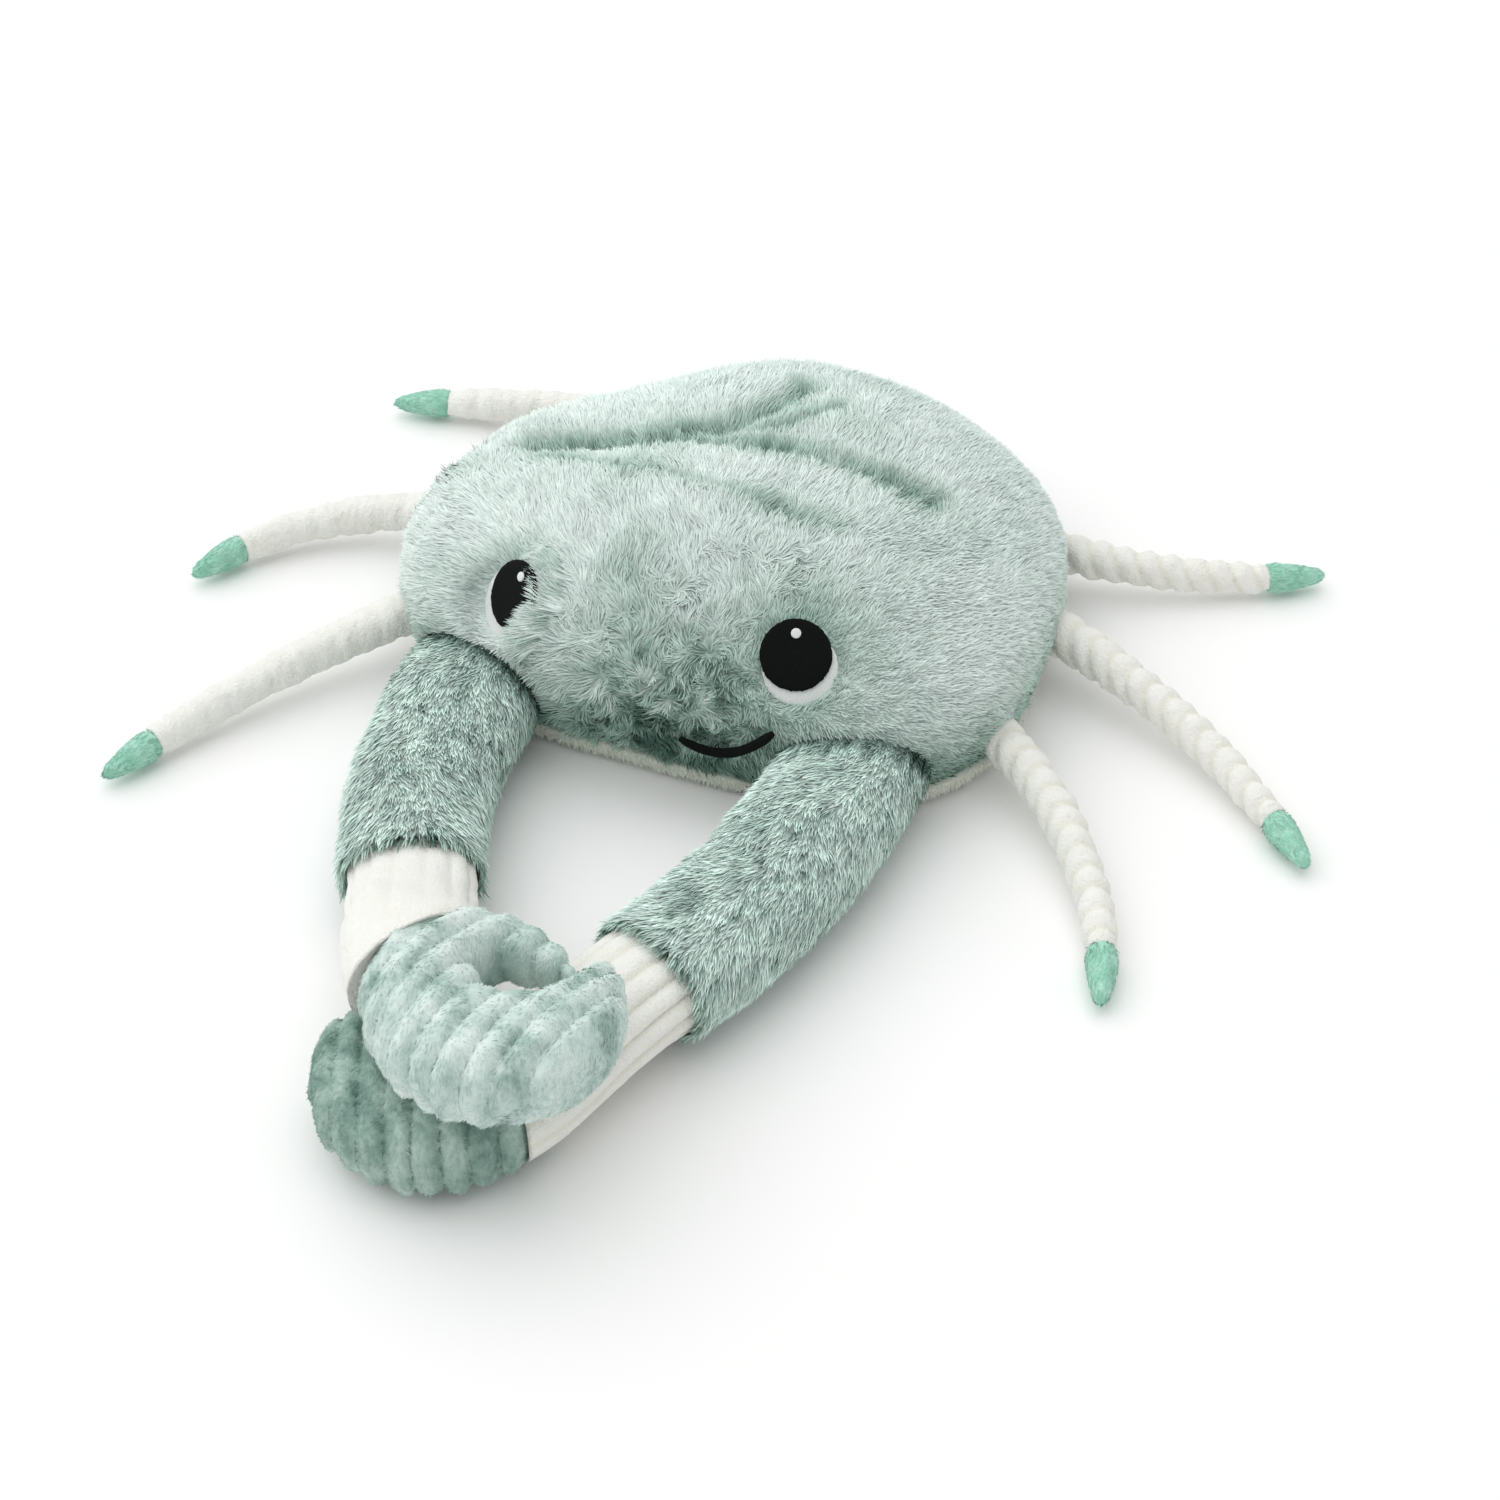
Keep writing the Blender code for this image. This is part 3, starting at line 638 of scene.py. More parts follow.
lock = plant("muzzle_lock", lock_skin, shell_fur, 6.0, 0.0098, 0.0017, 0.16, 27)
bpy.data.objects.remove(lock_skin)
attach(lock, "root")
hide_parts("carapace")
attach(shell, "root")
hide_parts("carapace")

# The belly. A panel of short off-white pile sewn into the shell's lower edge, which shows as a
# pale band under the fur along the front and is flat where the crab lies on it.
BELLY_NAP = 0.0026


def belly_nap(place, normal):
    return 0.0 if place.z < 0.0018 or place.z > 0.0105 else 1.0


BELLY_STOPS = ((0.0, (0.46, 0.50, 0.42)), (0.5, (0.72, 0.76, 0.66)), (1.0, (0.86, 0.89, 0.82)))
belly_pile = pile_finish("belly_pile", BELLY_STOPS, 0.15, 0.2, 0.5)
belly_cloth = Finish(bpy.data.materials.new("belly_cloth"))
nub = belly_cloth.cloud(0.0011, 1.0)
belly_cloth.set({"Base Color": belly_cloth.blend(nub, (0.60, 0.62, 0.54), (0.80, 0.81, 0.74)),
                 "Roughness": 0.95, "Normal": belly_cloth.bump(nub, 0.0005), "Sheen Weight": 0.2})
belly = cad_copy("belly_skin", "belly")
even(belly, 0.0034, 3)
draw_in(belly, lambda place, normal: 0.0012 * max(0.0, 1 - abs(normal.z)))
brush(belly, lambda place, normal: (Vector((0.2, 0, -1)) + noise.noise_vector(place * 120) * 0.8,
                                    math.radians(48)), belly_nap, lambda place, normal: 0.7)
belly.data.materials.clear()
belly.data.materials.append(belly_cloth.owner)
nap = plant("belly_pile", belly, belly_pile, 0.55, BELLY_NAP, 0.0009, 0.3, 31)
for piece in (belly, nap):
    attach(piece, "root")
    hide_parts("belly")

# The sleeves. Two bent tubes of the shell's fur, sewn on under the eyes and lightly stuffed. The
# cuff is a raw edge of fur that turns in round the forearm.
SLEEVE_HALF_WIDTH = 0.0335
SLEEVE_HALF_HEIGHT = 0.0235
CUFF_HALF_WIDTH = 0.0315
CUFF_HALF_HEIGHT = 0.0255
SLEEVE_LIFT = 0.002
CUFF_DEPTH = 0.012
SLEEVE_DEPTH = 0.0028
SLEEVE_NAP = 0.0056
ARMS = {
    "left": {"root": (0.0806, -0.0983), "heading": -92, "turn": -27, "sleeve": 0.162, "bend": 6,
             "forearm": 0.077, "hole": (-0.0250, -0.3063), "base": 0.0},
    "right": {"root": (-0.0835, -0.0819), "heading": -104, "turn": 37, "sleeve": 0.150, "bend": 0,
              "forearm": 0.088, "hole": (0.0004, -0.3046), "base": 0.0463},
}


def level_arc(start, heading, turn, length, count):
    """Points and headings along a level arc that turns evenly, as the CAD arms do."""
    points = [Vector((start[0], start[1], 0))]
    ways = [Vector((math.cos(heading), math.sin(heading), 0))]
    step = length / (count - 1)
    for index in range(count - 1):
        angle = heading + turn * (index + 0.5) / (count - 1)
        points.append(points[-1] + Vector((math.cos(angle), math.sin(angle), 0)) * step)
        angle = heading + turn * (index + 1) / (count - 1)
        ways.append(Vector((math.cos(angle), math.sin(angle), 0)))
    return points, ways


def oval(turn, power):
    across, rise = math.cos(turn), math.sin(turn)
    return (math.copysign(abs(across) ** (2 / power), across),
            math.copysign(abs(rise) ** (2 / power), rise))


def loft(rings):
    """A closed form through rings of equally many points."""
    form = bmesh.new()
    rows = [[form.verts.new(point) for point in ring] for ring in rings]
    for first, second in zip(rows, rows[1:]):
        for index in range(len(first)):
            after = (index + 1) % len(first)
            form.faces.new((first[index], first[after], second[after], second[index]))
    for row in (rows[0], rows[-1]):
        middle = form.verts.new(sum((v.co for v in row), Vector()) / len(row))
        for index in range(len(row)):
            form.faces.new((row[index], row[(index + 1) % len(row)], middle))
    bmesh.ops.recalc_face_normals(form, faces=form.faces[:])
    return form


def trim(form, ways, surface, clear):
    """Draw what lies inside another piece back out to its surface, each point along its way."""
    for vertex, way in ways:
        hit, normal, index, distance = surface.ray_cast(vertex.co, way)
        if hit is not None and normal.dot(way) > 0:
            vertex.co = hit + way * clear


def surface_of(piece):
    return BVHTree.FromPolygons([v.co.copy() for v in piece.data.vertices],
                                [tuple(p.vertices) for p in piece.data.polygons])


def sleeve_form(arm):
    """The sleeve's cloth, from inside the shell to the cuff and back in round the forearm."""
    plan, ways = level_arc(arm["root"], math.radians(arm["heading"]), math.radians(arm["turn"]),
                           arm["sleeve"], 61)
    rings = []
    sides = 72
    lip = [(60, 0.0), (60, 0.0006), (60, 0.0012)]
    stations = [(index, 0.0) for index in range(61)] + lip
    stations += [(60 - step * 2, 0.0016) for step in range(1, 3)]
    for index, inward in stations:
        t = index / 60
        wide = SLEEVE_HALF_WIDTH + (CUFF_HALF_WIDTH - SLEEVE_HALF_WIDTH) * t ** 2 - SLEEVE_DEPTH - inward
        high = SLEEVE_HALF_HEIGHT + (CUFF_HALF_HEIGHT - SLEEVE_HALF_HEIGHT) * t
        lift = high + SLEEVE_LIFT
        high -= SLEEVE_DEPTH + inward
        side = ways[index].cross(Vector((0, 0, 1)))
        ring = []
        for corner in range(sides):
            across, rise = oval(math.tau * corner / sides, 2.2)
            place = plan[index] + Vector((0, 0, lift))
            place += side * across * wide + Vector((0, 0, 1)) * rise * high
            slack = noise.noise(place * 30) * 0.0016 + noise.noise(place * 75) * 0.0009
            place += (side * across + Vector((0, 0, 1)) * rise) * slack * (1 - t ** 6)
            ring.append(place)
        rings.append(ring)
    form = loft(rings)
    form.verts.ensure_lookup_table()
    drawn = []
    for number, vertex in enumerate(form.verts):
        row = number // sides
        if row < 30:
            drawn.append((vertex, ways[row]))
    trim(form, drawn, SHELL_SURFACE, 0.0003)
    bmesh.ops.remove_doubles(form, verts=form.verts[:], dist=0.0001)
    return form


def arm_way(arm, place):
    """Heading of an arm at the nearest point of its middle line."""
    plan, ways = arm["line"]
    nearest = min(range(len(plan)), key=lambda index: (plan[index].xy - place.xy).length)
    return ways[nearest], nearest / (len(plan) - 1)


# Sleeve colours from the darkest flecks and painted shade at 0 to the palest pile at 1.
SLEEVE_STOPS = ((0.0, (0.09, 0.165, 0.135)), (0.30, (0.56, 0.76, 0.685)), (1.0, (0.84, 1.0, 0.935)))
sleeve_fur = pile_finish("sleeve_fur", SLEEVE_STOPS, 0.90, 0.85, 0.50)
sleeve_cloth = skin_finish("sleeve_cloth", SLEEVE_STOPS, 0.95, 0.60)
for side, arm in ARMS.items():
    arm["line"] = level_arc(arm["root"], math.radians(arm["heading"]), math.radians(arm["turn"]),
                            arm["sleeve"], 31)

    def sleeve_flow(place, normal):
        way, share = arm_way(arm, place)
        flow = way + Vector((0, 0, -0.35)) + noise.noise_vector(place * 25) * 0.7
        flow += noise.noise_vector(place * 130) * 0.55
        return flow, math.radians(18)

    def sleeve_nap(place, normal):
        way, share = arm_way(arm, place)
        if share >= 0.999 and normal.dot(way) < -0.2:
            return 0.0
        if SHELL_SURFACE.find_nearest(place)[3] < 0.001:
            return 0.0
        cuff = 1.0 + 0.25 * max(0.0, (share - 0.94) / 0.06)
        return max(0.0, min(1.0, (place.z - 0.0020) / (SLEEVE_NAP * 0.85))) * cuff

    def sleeve_sewn(place):
        way, share = arm_way(arm, place)
        return max(0.0, min(1.0, max((0.25 - share) / 0.1, (share - 0.90) / 0.05)))

    def sleeve_shade(place, normal):
        way, share = arm_way(arm, place)
        # Painted shade in the gap at the cuff.
        hem = 0.40 * max(0.0, (share - 0.965) / 0.035)
        # Painted shade in the crease where the sleeve meets the shell.
        joint_shade = 0.75 * swell(SHELL_SURFACE.find_nearest(place)[3], 0.007)
        drift = place - way * (place.dot(way) * 0.72)
        fleck = noise.noise(drift * 330) + 0.6 * noise.noise(drift * 150)
        # Random patches and dark flecks in the pile, with painted shade low down, at the cuff and at the joint.
        return max(0.0, min(1.0, 0.74 + noise.noise(place * 40) * 0.22 - 1.0 * max(0.0, fleck - 0.14)
                            - 0.25 * max(0.0, 1 - place.z / 0.03) - hem - joint_shade))

    sleeve = new_piece("sleeve_skin_" + side, sleeve_form(arm))
    stuff(sleeve, sleeve_sewn, 0.0016)
    sleeve.data.materials.append(sleeve_cloth.owner)
    brush(sleeve, sleeve_flow, sleeve_nap, sleeve_shade)
    fur = plant("sleeve_fur_" + side, sleeve, sleeve_fur, 0.75, SLEEVE_NAP, 0.0013, 0.20, 40 + len(side))
    for piece in (sleeve, fur):
        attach(piece, "root")
        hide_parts("sleeve_" + side)

# The claws. Each is one bent, tightly stuffed hook of velour plush with upright ribs, a stitched
# line between them and two fingers that almost meet round a hole. One lies on the other.
RIB_PITCH = 0.0105
CLAW_NAP = 0.0024
RIB_WAYS = {"left": Vector((-0.956, -0.292, 0)), "right": Vector((0.956, -0.292, 0))}


def rib_share(side, place):
    """Distance from the nearest stitched line, 0 on it and 1 half way between two."""
    hole = Vector((*ARMS[side]["hole"], 0))
    bend = noise.noise(place * 20) * 0.0010
    share = ((place - hole).dot(RIB_WAYS[side]) + bend) / RIB_PITCH
    return abs(share - round(share)) * 2


def velour_finish(name, dark, middle, light, hairy):
    """Short velour, brushed in light and dark patches, darker along the stitched grooves between ribs as painted
    shade in the grooves.
    """
    finish = Finish(bpy.data.materials.new(name))
    place = finish.place()
    smear = finish.add("Mapping", {}, {"Vector": place, "Scale": (1.0, 1.0, 0.40)})
    patch = finish.cloud(0.013, 1.0, 0.5, smear)
    fine = finish.cloud(0.0025, 2.0, 0.5, smear)
    level = patch * 0.7 + fine * 0.3
    color = finish.add("ValToRGB", {"stops": ((0.32, dark), (0.48, middle), (0.66, light))}, {0: level})
    rib = finish.attribute("rib")
    # Painted shade along the grooves between ribs.
    color = finish.times(color, 0.58 + rib.ramp(0.02, 0.11) * 0.42)
    if hairy:
        tone = finish.attribute("tone")
        reach = finish.attribute("reach")
        # Paler towards the tips, as painted shade towards the roots.
        color = finish.times(color, 0.86 + (tone - 0.5) * 0.16 + reach * 0.20)
        ground = finish.attribute("ground", "Vector")
        true = finish.add("NewGeometry", {}, {}, "Normal")
        lit = finish.add("Mix", {"data_type": "VECTOR"}, {0: 0.5, 4: true, 5: ground}, 1)
        normal = finish.add("VectorMath", {"operation": "NORMALIZE"}, {0: lit})
    else:
        # The cloth under the pile a little darker, as painted shade under it.
        color = finish.times(color, 0.9)
        grain = finish.cloud(0.0009, 2.0, 0.6, place)
        normal = finish.bump(grain, 0.0006, 0.8)
    finish.set({"Base Color": color, "Roughness": 0.9, "Normal": normal, "Specular IOR Level": 0.0})
    return finish


# The claw on the crab's left lies under the other, and its colours are darker as painted shadow of the claw on top.
CLAW_STOPS = {
    "left": ((0.17, 0.28, 0.24), (0.33, 0.48, 0.42), (0.58, 0.73, 0.67)),
    "right": ((0.38, 0.54, 0.49), (0.68, 0.84, 0.785), (0.90, 1.0, 0.965)),
}
CLAW_SURFACES = {}
for side in ("left", "right"):
    claw = cad_copy("claw_skin_" + side, "claw_" + side)
    even(claw, 0.0014, 14)

    def claw_depth(place, normal):
        share = rib_share(side, place)
        upright = 1 - abs(normal.dot(RIB_WAYS[side])) ** 3
        groove = (1 - share) ** 2.6 * 0.0019 + swell(share, 0.07) * 0.0009
        return 0.0004 + upright * (groove - 0.0003) + noise.noise(place * 90) * 0.0004

    def claw_flow(place, normal):
        flow = Vector((0, 0, -0.7)) + RIB_WAYS[side].cross(Vector((0, 0, 1))) * 0.6
        flow += noise.noise_vector(place * 45) * 0.9 + noise.noise_vector(place * 160) * 0.5
        return flow, math.radians(20)

    draw_in(claw, claw_depth)
    CLAW_SURFACES[side] = surface_of(claw)
    def seam_share(place, normal):
        """The share, closed up where the cloth faces along the ribs' pitch and shows no groove, so no painted groove
        shade.
        """
        turned = max(0.0, abs(normal.dot(RIB_WAYS[side])) - 0.80) / 0.15
        return min(1.0, rib_share(side, place) + turned)

    brush(claw, claw_flow, lambda place, normal: 0.85 if seam_share(place, normal) > 0.14 else 0.0,
          lambda place, normal: 0.5)
    store(claw, "rib", "FLOAT", [seam_share(v.co, v.normal) for v in claw.data.vertices])
    claw_velour = velour_finish("claw_velour_" + side, *CLAW_STOPS[side], False)
    claw_pile = velour_finish("claw_pile_" + side, *CLAW_STOPS[side], True)
    claw.data.materials.clear()
    claw.data.materials.append(claw_velour.owner)
    pile = plant("claw_pile_" + side, claw, claw_pile, 0.45, CLAW_NAP, 0.0008, 0.16, 50 + len(side))
    for piece in (claw, pile):
        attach(piece, "root")
        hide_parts("claw_" + side)

# The forearms. Cream wide-wale tubes that come out of the cuffs and are sewn into the palms of
# the claws, with the wales lengthwise and their short fuzz given only as a fine bump.
FOREARM_HALF_WIDTH = 0.0265
FOREARM_HALF_HEIGHT = 0.0200
FOREARM_WALES = 14
FOREARM_GROOVE = 0.0014
CLAW_HALF_HEIGHT = 0.023
WRIST_SLANT = 32


def cream_finish(name):
    """Cream wide-wale plush, coloured a little darker and yellower in its grooves as painted shade."""
    finish = Finish(bpy.data.materials.new(name))
    place = finish.place()
    patch = finish.cloud(0.010, 3.0, 0.6, place)
    rib = finish.attribute("rib")
    color = finish.blend(patch.ramp(0.3, 0.7), (0.95, 0.95, 0.885), (0.985, 0.985, 0.945))
    # Painted shade in the grooves between wales.
    color = finish.blend(rib.ramp(0.0, 0.5), (0.91, 0.90, 0.81), color)
    nub = finish.bump(finish.cloud(0.0014, 3.0, 0.7, place), 0.0012, 0.9)
    finish.set({"Base Color": color, "Roughness": 0.95, "Normal": nub, "Specular IOR Level": 0.0,
                "Sheen Weight": 0.25, "Sheen Roughness": 0.6})
    return finish


cream_cloth = cream_finish("cream_wale")


def forearm_form(side, arm):
    """The wide-wale tube from inside the cuff to the claw, and how far each point is from a groove."""
    plan, ways = arm["line"]
    cuff_height = CUFF_HALF_HEIGHT + SLEEVE_LIFT
    wrist_height = arm["base"] + CLAW_HALF_HEIGHT
    reach, headings = level_arc(plan[-1][:2], math.radians(arm["heading"] + arm["turn"]),
                                math.radians(arm["bend"]), arm["forearm"], 45)
    stops = [(plan[-1] - ways[-1] * CUFF_DEPTH, ways[-1], 0.0)]
    stops += [(reach[index], headings[index], index / 44) for index in range(45)]
    sides = FOREARM_WALES * 8
    rings, shares = [], []
    for number, (point, way, t) in enumerate(stops):
        height = cuff_height + (wrist_height - cuff_height) * t * t * (3 - 2 * t)
        side_way = way.cross(Vector((0, 0, 1)))
        slant = math.radians(-WRIST_SLANT if side == "left" else WRIST_SLANT) * max(0.0, t * 2 - 1) ** 2
        side_way = Matrix.Rotation(slant, 3, "Z") @ side_way
        ring = []
        for corner in range(sides):
            turn = math.tau * corner / sides
            across, rise = oval(turn, 2.2)
            place = Vector((point.x, point.y, height))
            share = abs((corner / 8) - round(corner / 8)) * 2
            full = max(0.0, min(1.0, (t - 0.55) / 0.3))
            groove = FOREARM_GROOVE * (1.25 if side == "left" else 0.65) * (1 - 0.8 * full)
            outward = 1 - groove / FOREARM_HALF_HEIGHT * (1 - share) ** 2.2
            slack = noise.noise(Vector((point.x * 40, point.y * 40, turn * 2))) * 0.045
            slack += noise.noise(Vector((point.x * 130, point.y * 130, turn * 4))) * 0.018
            slack = 1 + slack * (1 - full)
            inset = 0.0006 - 0.0012 * full
            place += side_way * across * (FOREARM_HALF_WIDTH - inset) * outward * slack
            place += Vector((0, 0, 1)) * rise * (FOREARM_HALF_HEIGHT - inset) * outward * slack
            ring.append(place)
            # The right forearm gets less painted shade in its grooves.
            shares.append(share if side == "left" else 0.35 + 0.65 * share)
        rings.append(ring)
    form = loft(rings)
    form.verts.ensure_lookup_table()
    layer = form.verts.layers.float.new("rib")
    for number, share in enumerate(shares):
        form.verts[number][layer] = share
    count = len(stops)
    for claw_side in (("left",) if side == "left" else ("right", "left")):
        drawn = []
        for number, vertex in enumerate(form.verts):
            row = min(number // sides, count - 1)
            if row > 14:
                drawn.append((vertex, -stops[row][1]))
        trim(form, drawn, CLAW_SURFACES[claw_side], 0.0003)
    bmesh.ops.remove_doubles(form, verts=form.verts[:], dist=0.0001)
    return form


for side, arm in ARMS.items():
    forearm = new_piece("forearm_skin_" + side, forearm_form(side, arm))
    forearm.data.materials.append(cream_cloth.owner)
    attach(forearm, "root")
    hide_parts("forearm_" + side)

# The legs. Six tapering cords of cream wide-wale plush whose wales run round them like the lay of
# a rope, each with a pointed end of mint velour sewn on. They come out of the shell's seam.
LEG_REACH = 0.178
LEG_TIP_LENGTH = 0.027
LEG_ROOT_RADIUS = 0.0105
LEG_END_RADIUS = 0.0068
LEG_POINT_RADIUS = 0.0022
LEG_ROOT_HEIGHT = 0.027
LEG_FALL_POWER = 1.3
LEG_GROOVE = 0.0014
LEGS = {
    "back_right": (-0.0311, 0.0855, 165, 193, 0.05),
    "middle_right": (-0.0949, -0.0133, 150, 244, 0.10),
    "front_right": (-0.1155, -0.0563, 217, 244, 0.15),
    "back_left": (0.0724, 0.0607, -10, 30, 0.45),
    "middle_left": (0.1240, 0.0022, -17, -52, 0.50),
    "front_left": (0.1041, -0.0577, -26, -83, 0.40),
}


def leg_line(root_x, root_y, first, last):
    """Middle line of a leg, one point a millimetre, with its headings."""
    count = 179
    plan, ways = level_arc((root_x, root_y), math.radians(first), math.radians(last - first),
                           LEG_REACH, count)
    points = []
    for index, spot in enumerate(plan):
        fall = (LEG_ROOT_HEIGHT - LEG_END_RADIUS) * (1 - index / (count - 1)) ** LEG_FALL_POWER
        points.append(Vector((spot.x, spot.y, LEG_END_RADIUS + fall)))
    return points, ways


def leg_form(points, ways, first, last, radius_at, sides):
    """A tube along part of a leg. radius_at gives the radius and the rib share at a distance."""
    rings, shares = [], []
    for index in range(first, last + 1):
        side_way = ways[index].cross(Vector((0, 0, 1)))
        ring = []
        for corner in range(sides):
            turn = math.tau * corner / sides
            radius, share = radius_at(index / 1000, turn)
            ring.append(points[index] + (side_way * math.cos(turn) + Vector((0, 0, math.sin(turn)))) * radius)
            shares.append(share)
        rings.append(ring)
    form = loft(rings)
    form.verts.ensure_lookup_table()
    layer = form.verts.layers.float.new("rib")
    for number, share in enumerate(shares):
        form.verts[number][layer] = share
    return form


mint = Finish(bpy.data.materials.new("mint_velour"))
mint_patch = mint.cloud(0.007, 3.0, 0.6)
mint_grain = mint.cloud(0.0008, 2.0, 0.6)
mint.set({"Base Color": mint.blend(mint_patch.ramp(0.3, 0.7), (0.30, 0.66, 0.50), (0.46, 0.80, 0.66)),
          "Roughness": 0.8, "Normal": mint.bump(mint_grain, 0.0006, 0.8), "Sheen Weight": 0.4,
          "Sheen Roughness": 0.4, "Specular IOR Level": 0.2})
MINT_STOPS = ((0.0, (0.28, 0.62, 0.47)), (0.5, (0.40, 0.74, 0.59)), (1.0, (0.52, 0.84, 0.71)))
mint_pile = pile_finish("mint_pile", MINT_STOPS, 0.2, 0.3, 0.5)

for number, (leg_name, (root_x, root_y, first, last, lay)) in enumerate(LEGS.items()):
    points, ways = leg_line(root_x, root_y, first, last)
    seam = round((LEG_REACH - LEG_TIP_LENGTH) * 1000)

    def wale_radius(distance, turn):
        radius = LEG_ROOT_RADIUS + (LEG_END_RADIUS - LEG_ROOT_RADIUS) * distance * 1000 / seam
        share = (distance + lay * radius * math.sin(turn)) / RIB_PITCH
        share = abs(share - round(share)) * 2
        near_seam = max(0.0, 1 - (seam / 1000 - distance) / 0.004)
        around = Vector((distance * 420, number * 7 + math.cos(turn) * 4, math.sin(turn) * 4))
        uneven = noise.noise(Vector((distance * 90, number * 7, turn * 0.6))) * 0.0008
        uneven += noise.noise(around) * 0.0007
        groove = LEG_GROOVE * (1 - share) ** 1.8 * (0.40 if lay < 0.2 else 1.15)
        # Legs with shallow wales get less painted shade in their grooves.
        share = 0.55 + 0.45 * share if lay < 0.2 else share
        return radius + 0.0003 + uneven - groove - 0.0012 * near_seam, share

    def tip_radius(distance, turn):
        t = min(1.0, max(0.0, (distance * 1000 - seam) / (LEG_REACH * 1000 - seam)))
        radius = LEG_POINT_RADIUS + (LEG_END_RADIUS - LEG_POINT_RADIUS) * (1 - t ** 1.8)
        near_seam = max(0.0, 1 - (distance - seam / 1000) / 0.004)
        near_point = max(0.0, t - 0.86) / 0.14
        return radius * (1 - 0.65 * near_point ** 2) - 0.0010 * near_seam, 1.0

    start = next(index for index in range(seam)
                 if (SHELL_SURFACE.ray_cast(points[index], ways[index])[0] is None))
    form = leg_form(points, ways, max(0, start - 16), seam, wale_radius, 28)
    drawn = [(vertex, ways[min(start + 10, seam)]) for vertex in form.verts]
    trim(form, drawn[:28 * 40], SHELL_SURFACE, 0.0003)
    bmesh.ops.remove_doubles(form, verts=form.verts[:], dist=0.0001)
    leg = new_piece("leg_skin_" + leg_name, form)
    leg.data.materials.append(cream_cloth.owner)

    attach(leg, "root")
    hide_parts("leg_" + leg_name)

    tip = new_piece("tip_skin_" + leg_name, leg_form(points, ways, seam, len(points) - 1, tip_radius, 24))
    tip.data.materials.append(mint.owner)
    brush(tip, lambda place, normal: (ways[-1] + noise.noise_vector(place * 120) * 0.6, math.radians(18)),
          lambda place, normal: 1.0, lambda place, normal: 0.5 + noise.noise(place * 120) * 0.5)
    nap = plant("tip_pile_" + leg_name, tip, mint_pile, 0.6, 0.0022, 0.0008, 0.12, 80 + number)
    for piece in (tip, nap):
        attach(piece, "root")
        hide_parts("leg_tip_" + leg_name)

# The eyes. Each is an embroidered patch: a white satin-stitch disc, a black one over its upper
# part that leaves a white crescent, and a small round white glint.
WHITE_RADIUS = 0.0158
PUPIL_RADIUS = 0.0150
GLINT_RADIUS = 0.0021


def disc_form(middle, facing, radius, thick, ragged, seed):
    """A domed stitched disc with a slightly uneven edge."""
    upright = facing.to_track_quat("Z", "Y").to_matrix()
    profile = ((0.0, 1.0), (0.25, 0.98), (0.5, 0.93), (0.72, 0.84), (0.88, 0.68), (0.96, 0.45),
               (1.0, 0.15), (1.0, -0.5), (0.5, -0.5))
    sides = 96
    rings = []
    for share, height in profile[1:]:
        ring = []
        for corner in range(sides):
            turn = math.tau * corner / sides
            wobble = 1 + ragged * noise.noise(Vector((math.cos(turn) * 13, math.sin(turn) * 13, seed)))
            local = Vector((math.cos(turn), math.sin(turn), 0)) * radius * share * wobble
            local.z = thick * height
            ring.append(middle + upright @ local)
        rings.append(ring)
    return loft(rings)


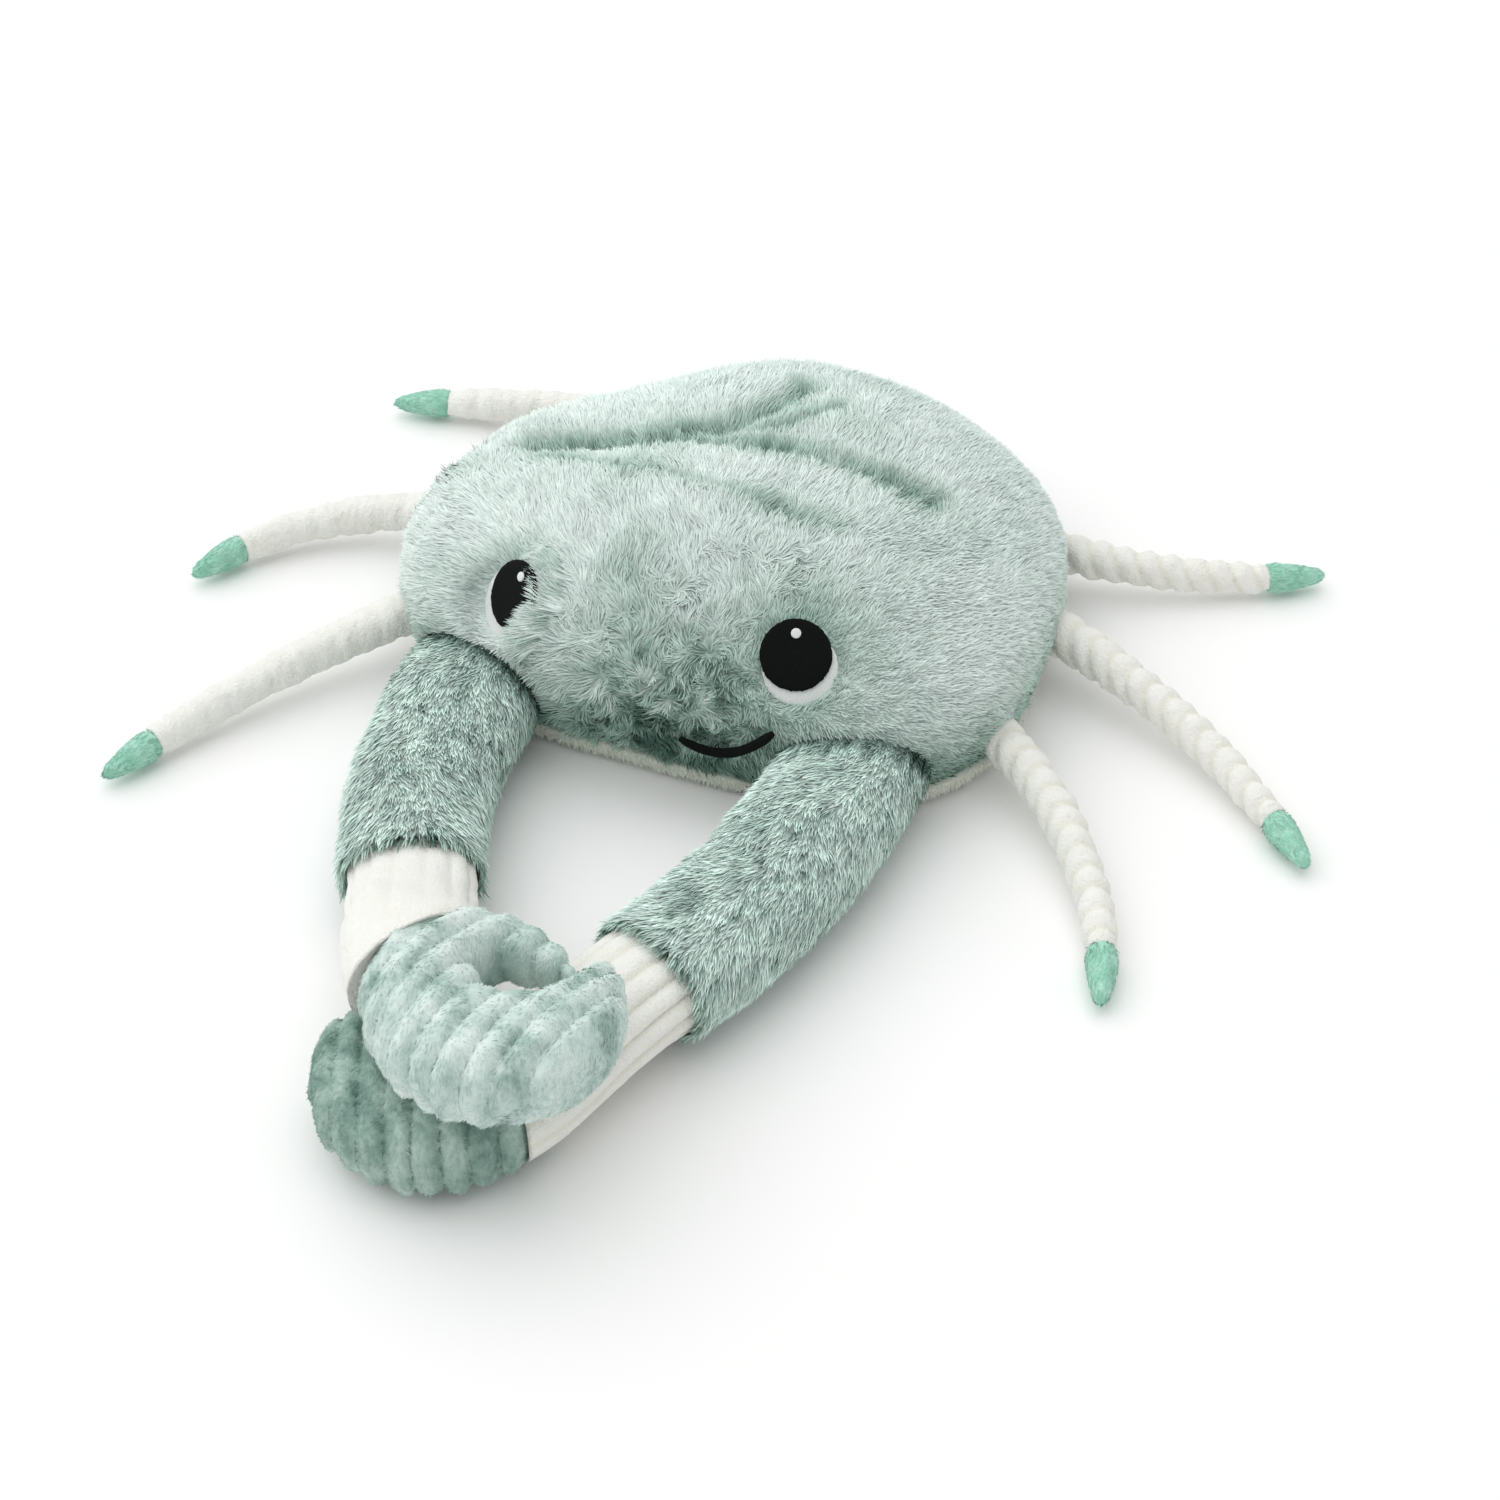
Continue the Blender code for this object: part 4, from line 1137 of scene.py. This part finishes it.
def stitch_finish(name, low, high, way):
    """Satin stitch: close parallel threads across the patch."""
    finish = Finish(bpy.data.materials.new(name))
    run = finish.add("VectorMath", {"operation": "DOT_PRODUCT"}, {0: finish.place(), 1: way}, "Value")
    stray = finish.cloud(0.004, 2.0)
    thread = (run / 0.00055 + stray * 1.5)
    wave = thread.maths("SINE", thread * math.tau) * 0.5 + 0.5
    fleck = finish.cloud(0.0012, 2.0)
    color = finish.blend(wave * 0.6 + fleck * 0.4, low, high)
    finish.set({"Base Color": color, "Roughness": 0.75, "Normal": finish.bump(wave, 0.00025, 0.7),
                "Specular IOR Level": 0.12})
    return finish


black_stitch = stitch_finish("black_stitch", (0.0015, 0.002, 0.002), (0.006, 0.008, 0.008), (0.9, 0.1, 0.4))
white_stitch = stitch_finish("white_stitch", (0.84, 0.87, 0.86), (0.95, 0.96, 0.96), (0.9, 0.1, 0.4))
for side in ("left", "right"):
    for layer, radius, finish, slot, thick in (
            ("white", WHITE_RADIUS, white_stitch, "white_thread", 0.0010),
            ("pupil", PUPIL_RADIUS, black_stitch, "black_thread", 0.0011),
            ("glint", GLINT_RADIUS, white_stitch, "white_thread", 0.0006)):
        node = "eye_%s_%s" % (layer, side)
        middle = patch_frame(node)[0] + MUZZLE_WAY * (0.0018 if side == "right" else 0.0)
        if layer == "white":
            middle += (middle - patch_frame("eye_pupil_" + side)[0]).normalized() * 0.0008
        facing = EYES[side][1]
        patch = new_piece("stitched_" + node, disc_form(middle, facing, radius, thick, 0.030, len(layer)))
        patch.data.materials.append(finish.owner)
        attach(patch, "root")
        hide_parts(node)

# The smile. A cord of black satin stitch on the front of the shell, whose pile is parted round it.
MOUTH_HALF_WIDTH = 0.0021


def mouth_form():
    rings = []
    count = len(MOUTH_STOPS)
    for index, stop in enumerate(MOUTH_STOPS):
        ahead = (MOUTH_STOPS[min(index + 1, count - 1)] - MOUTH_STOPS[max(index - 1, 0)]).normalized()
        across = Vector((0, -0.85, 0.53)).cross(ahead).normalized()
        out = ahead.cross(across)
        end = min(index, count - 1 - index)
        taper = ((0.55, 0.9)[end] if end < 2 else 1.0) * (0.82 + 0.18 * min(1.0, index / 9))
        taper *= 1 + 0.10 * noise.noise(stop * 420)
        ring = []
        for corner in range(16):
            turn = math.tau * corner / 16
            ring.append(stop + (across * math.cos(turn) * MOUTH_HALF_WIDTH
                                + out * math.sin(turn) * MOUTH_HALF_WIDTH * 0.8) * taper)
        rings.append(ring)
    return loft(rings)


mouth = new_piece("stitched_mouth", mouth_form())
mouth.data.materials.append(black_stitch.owner)
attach(mouth, "root")
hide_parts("mouth")
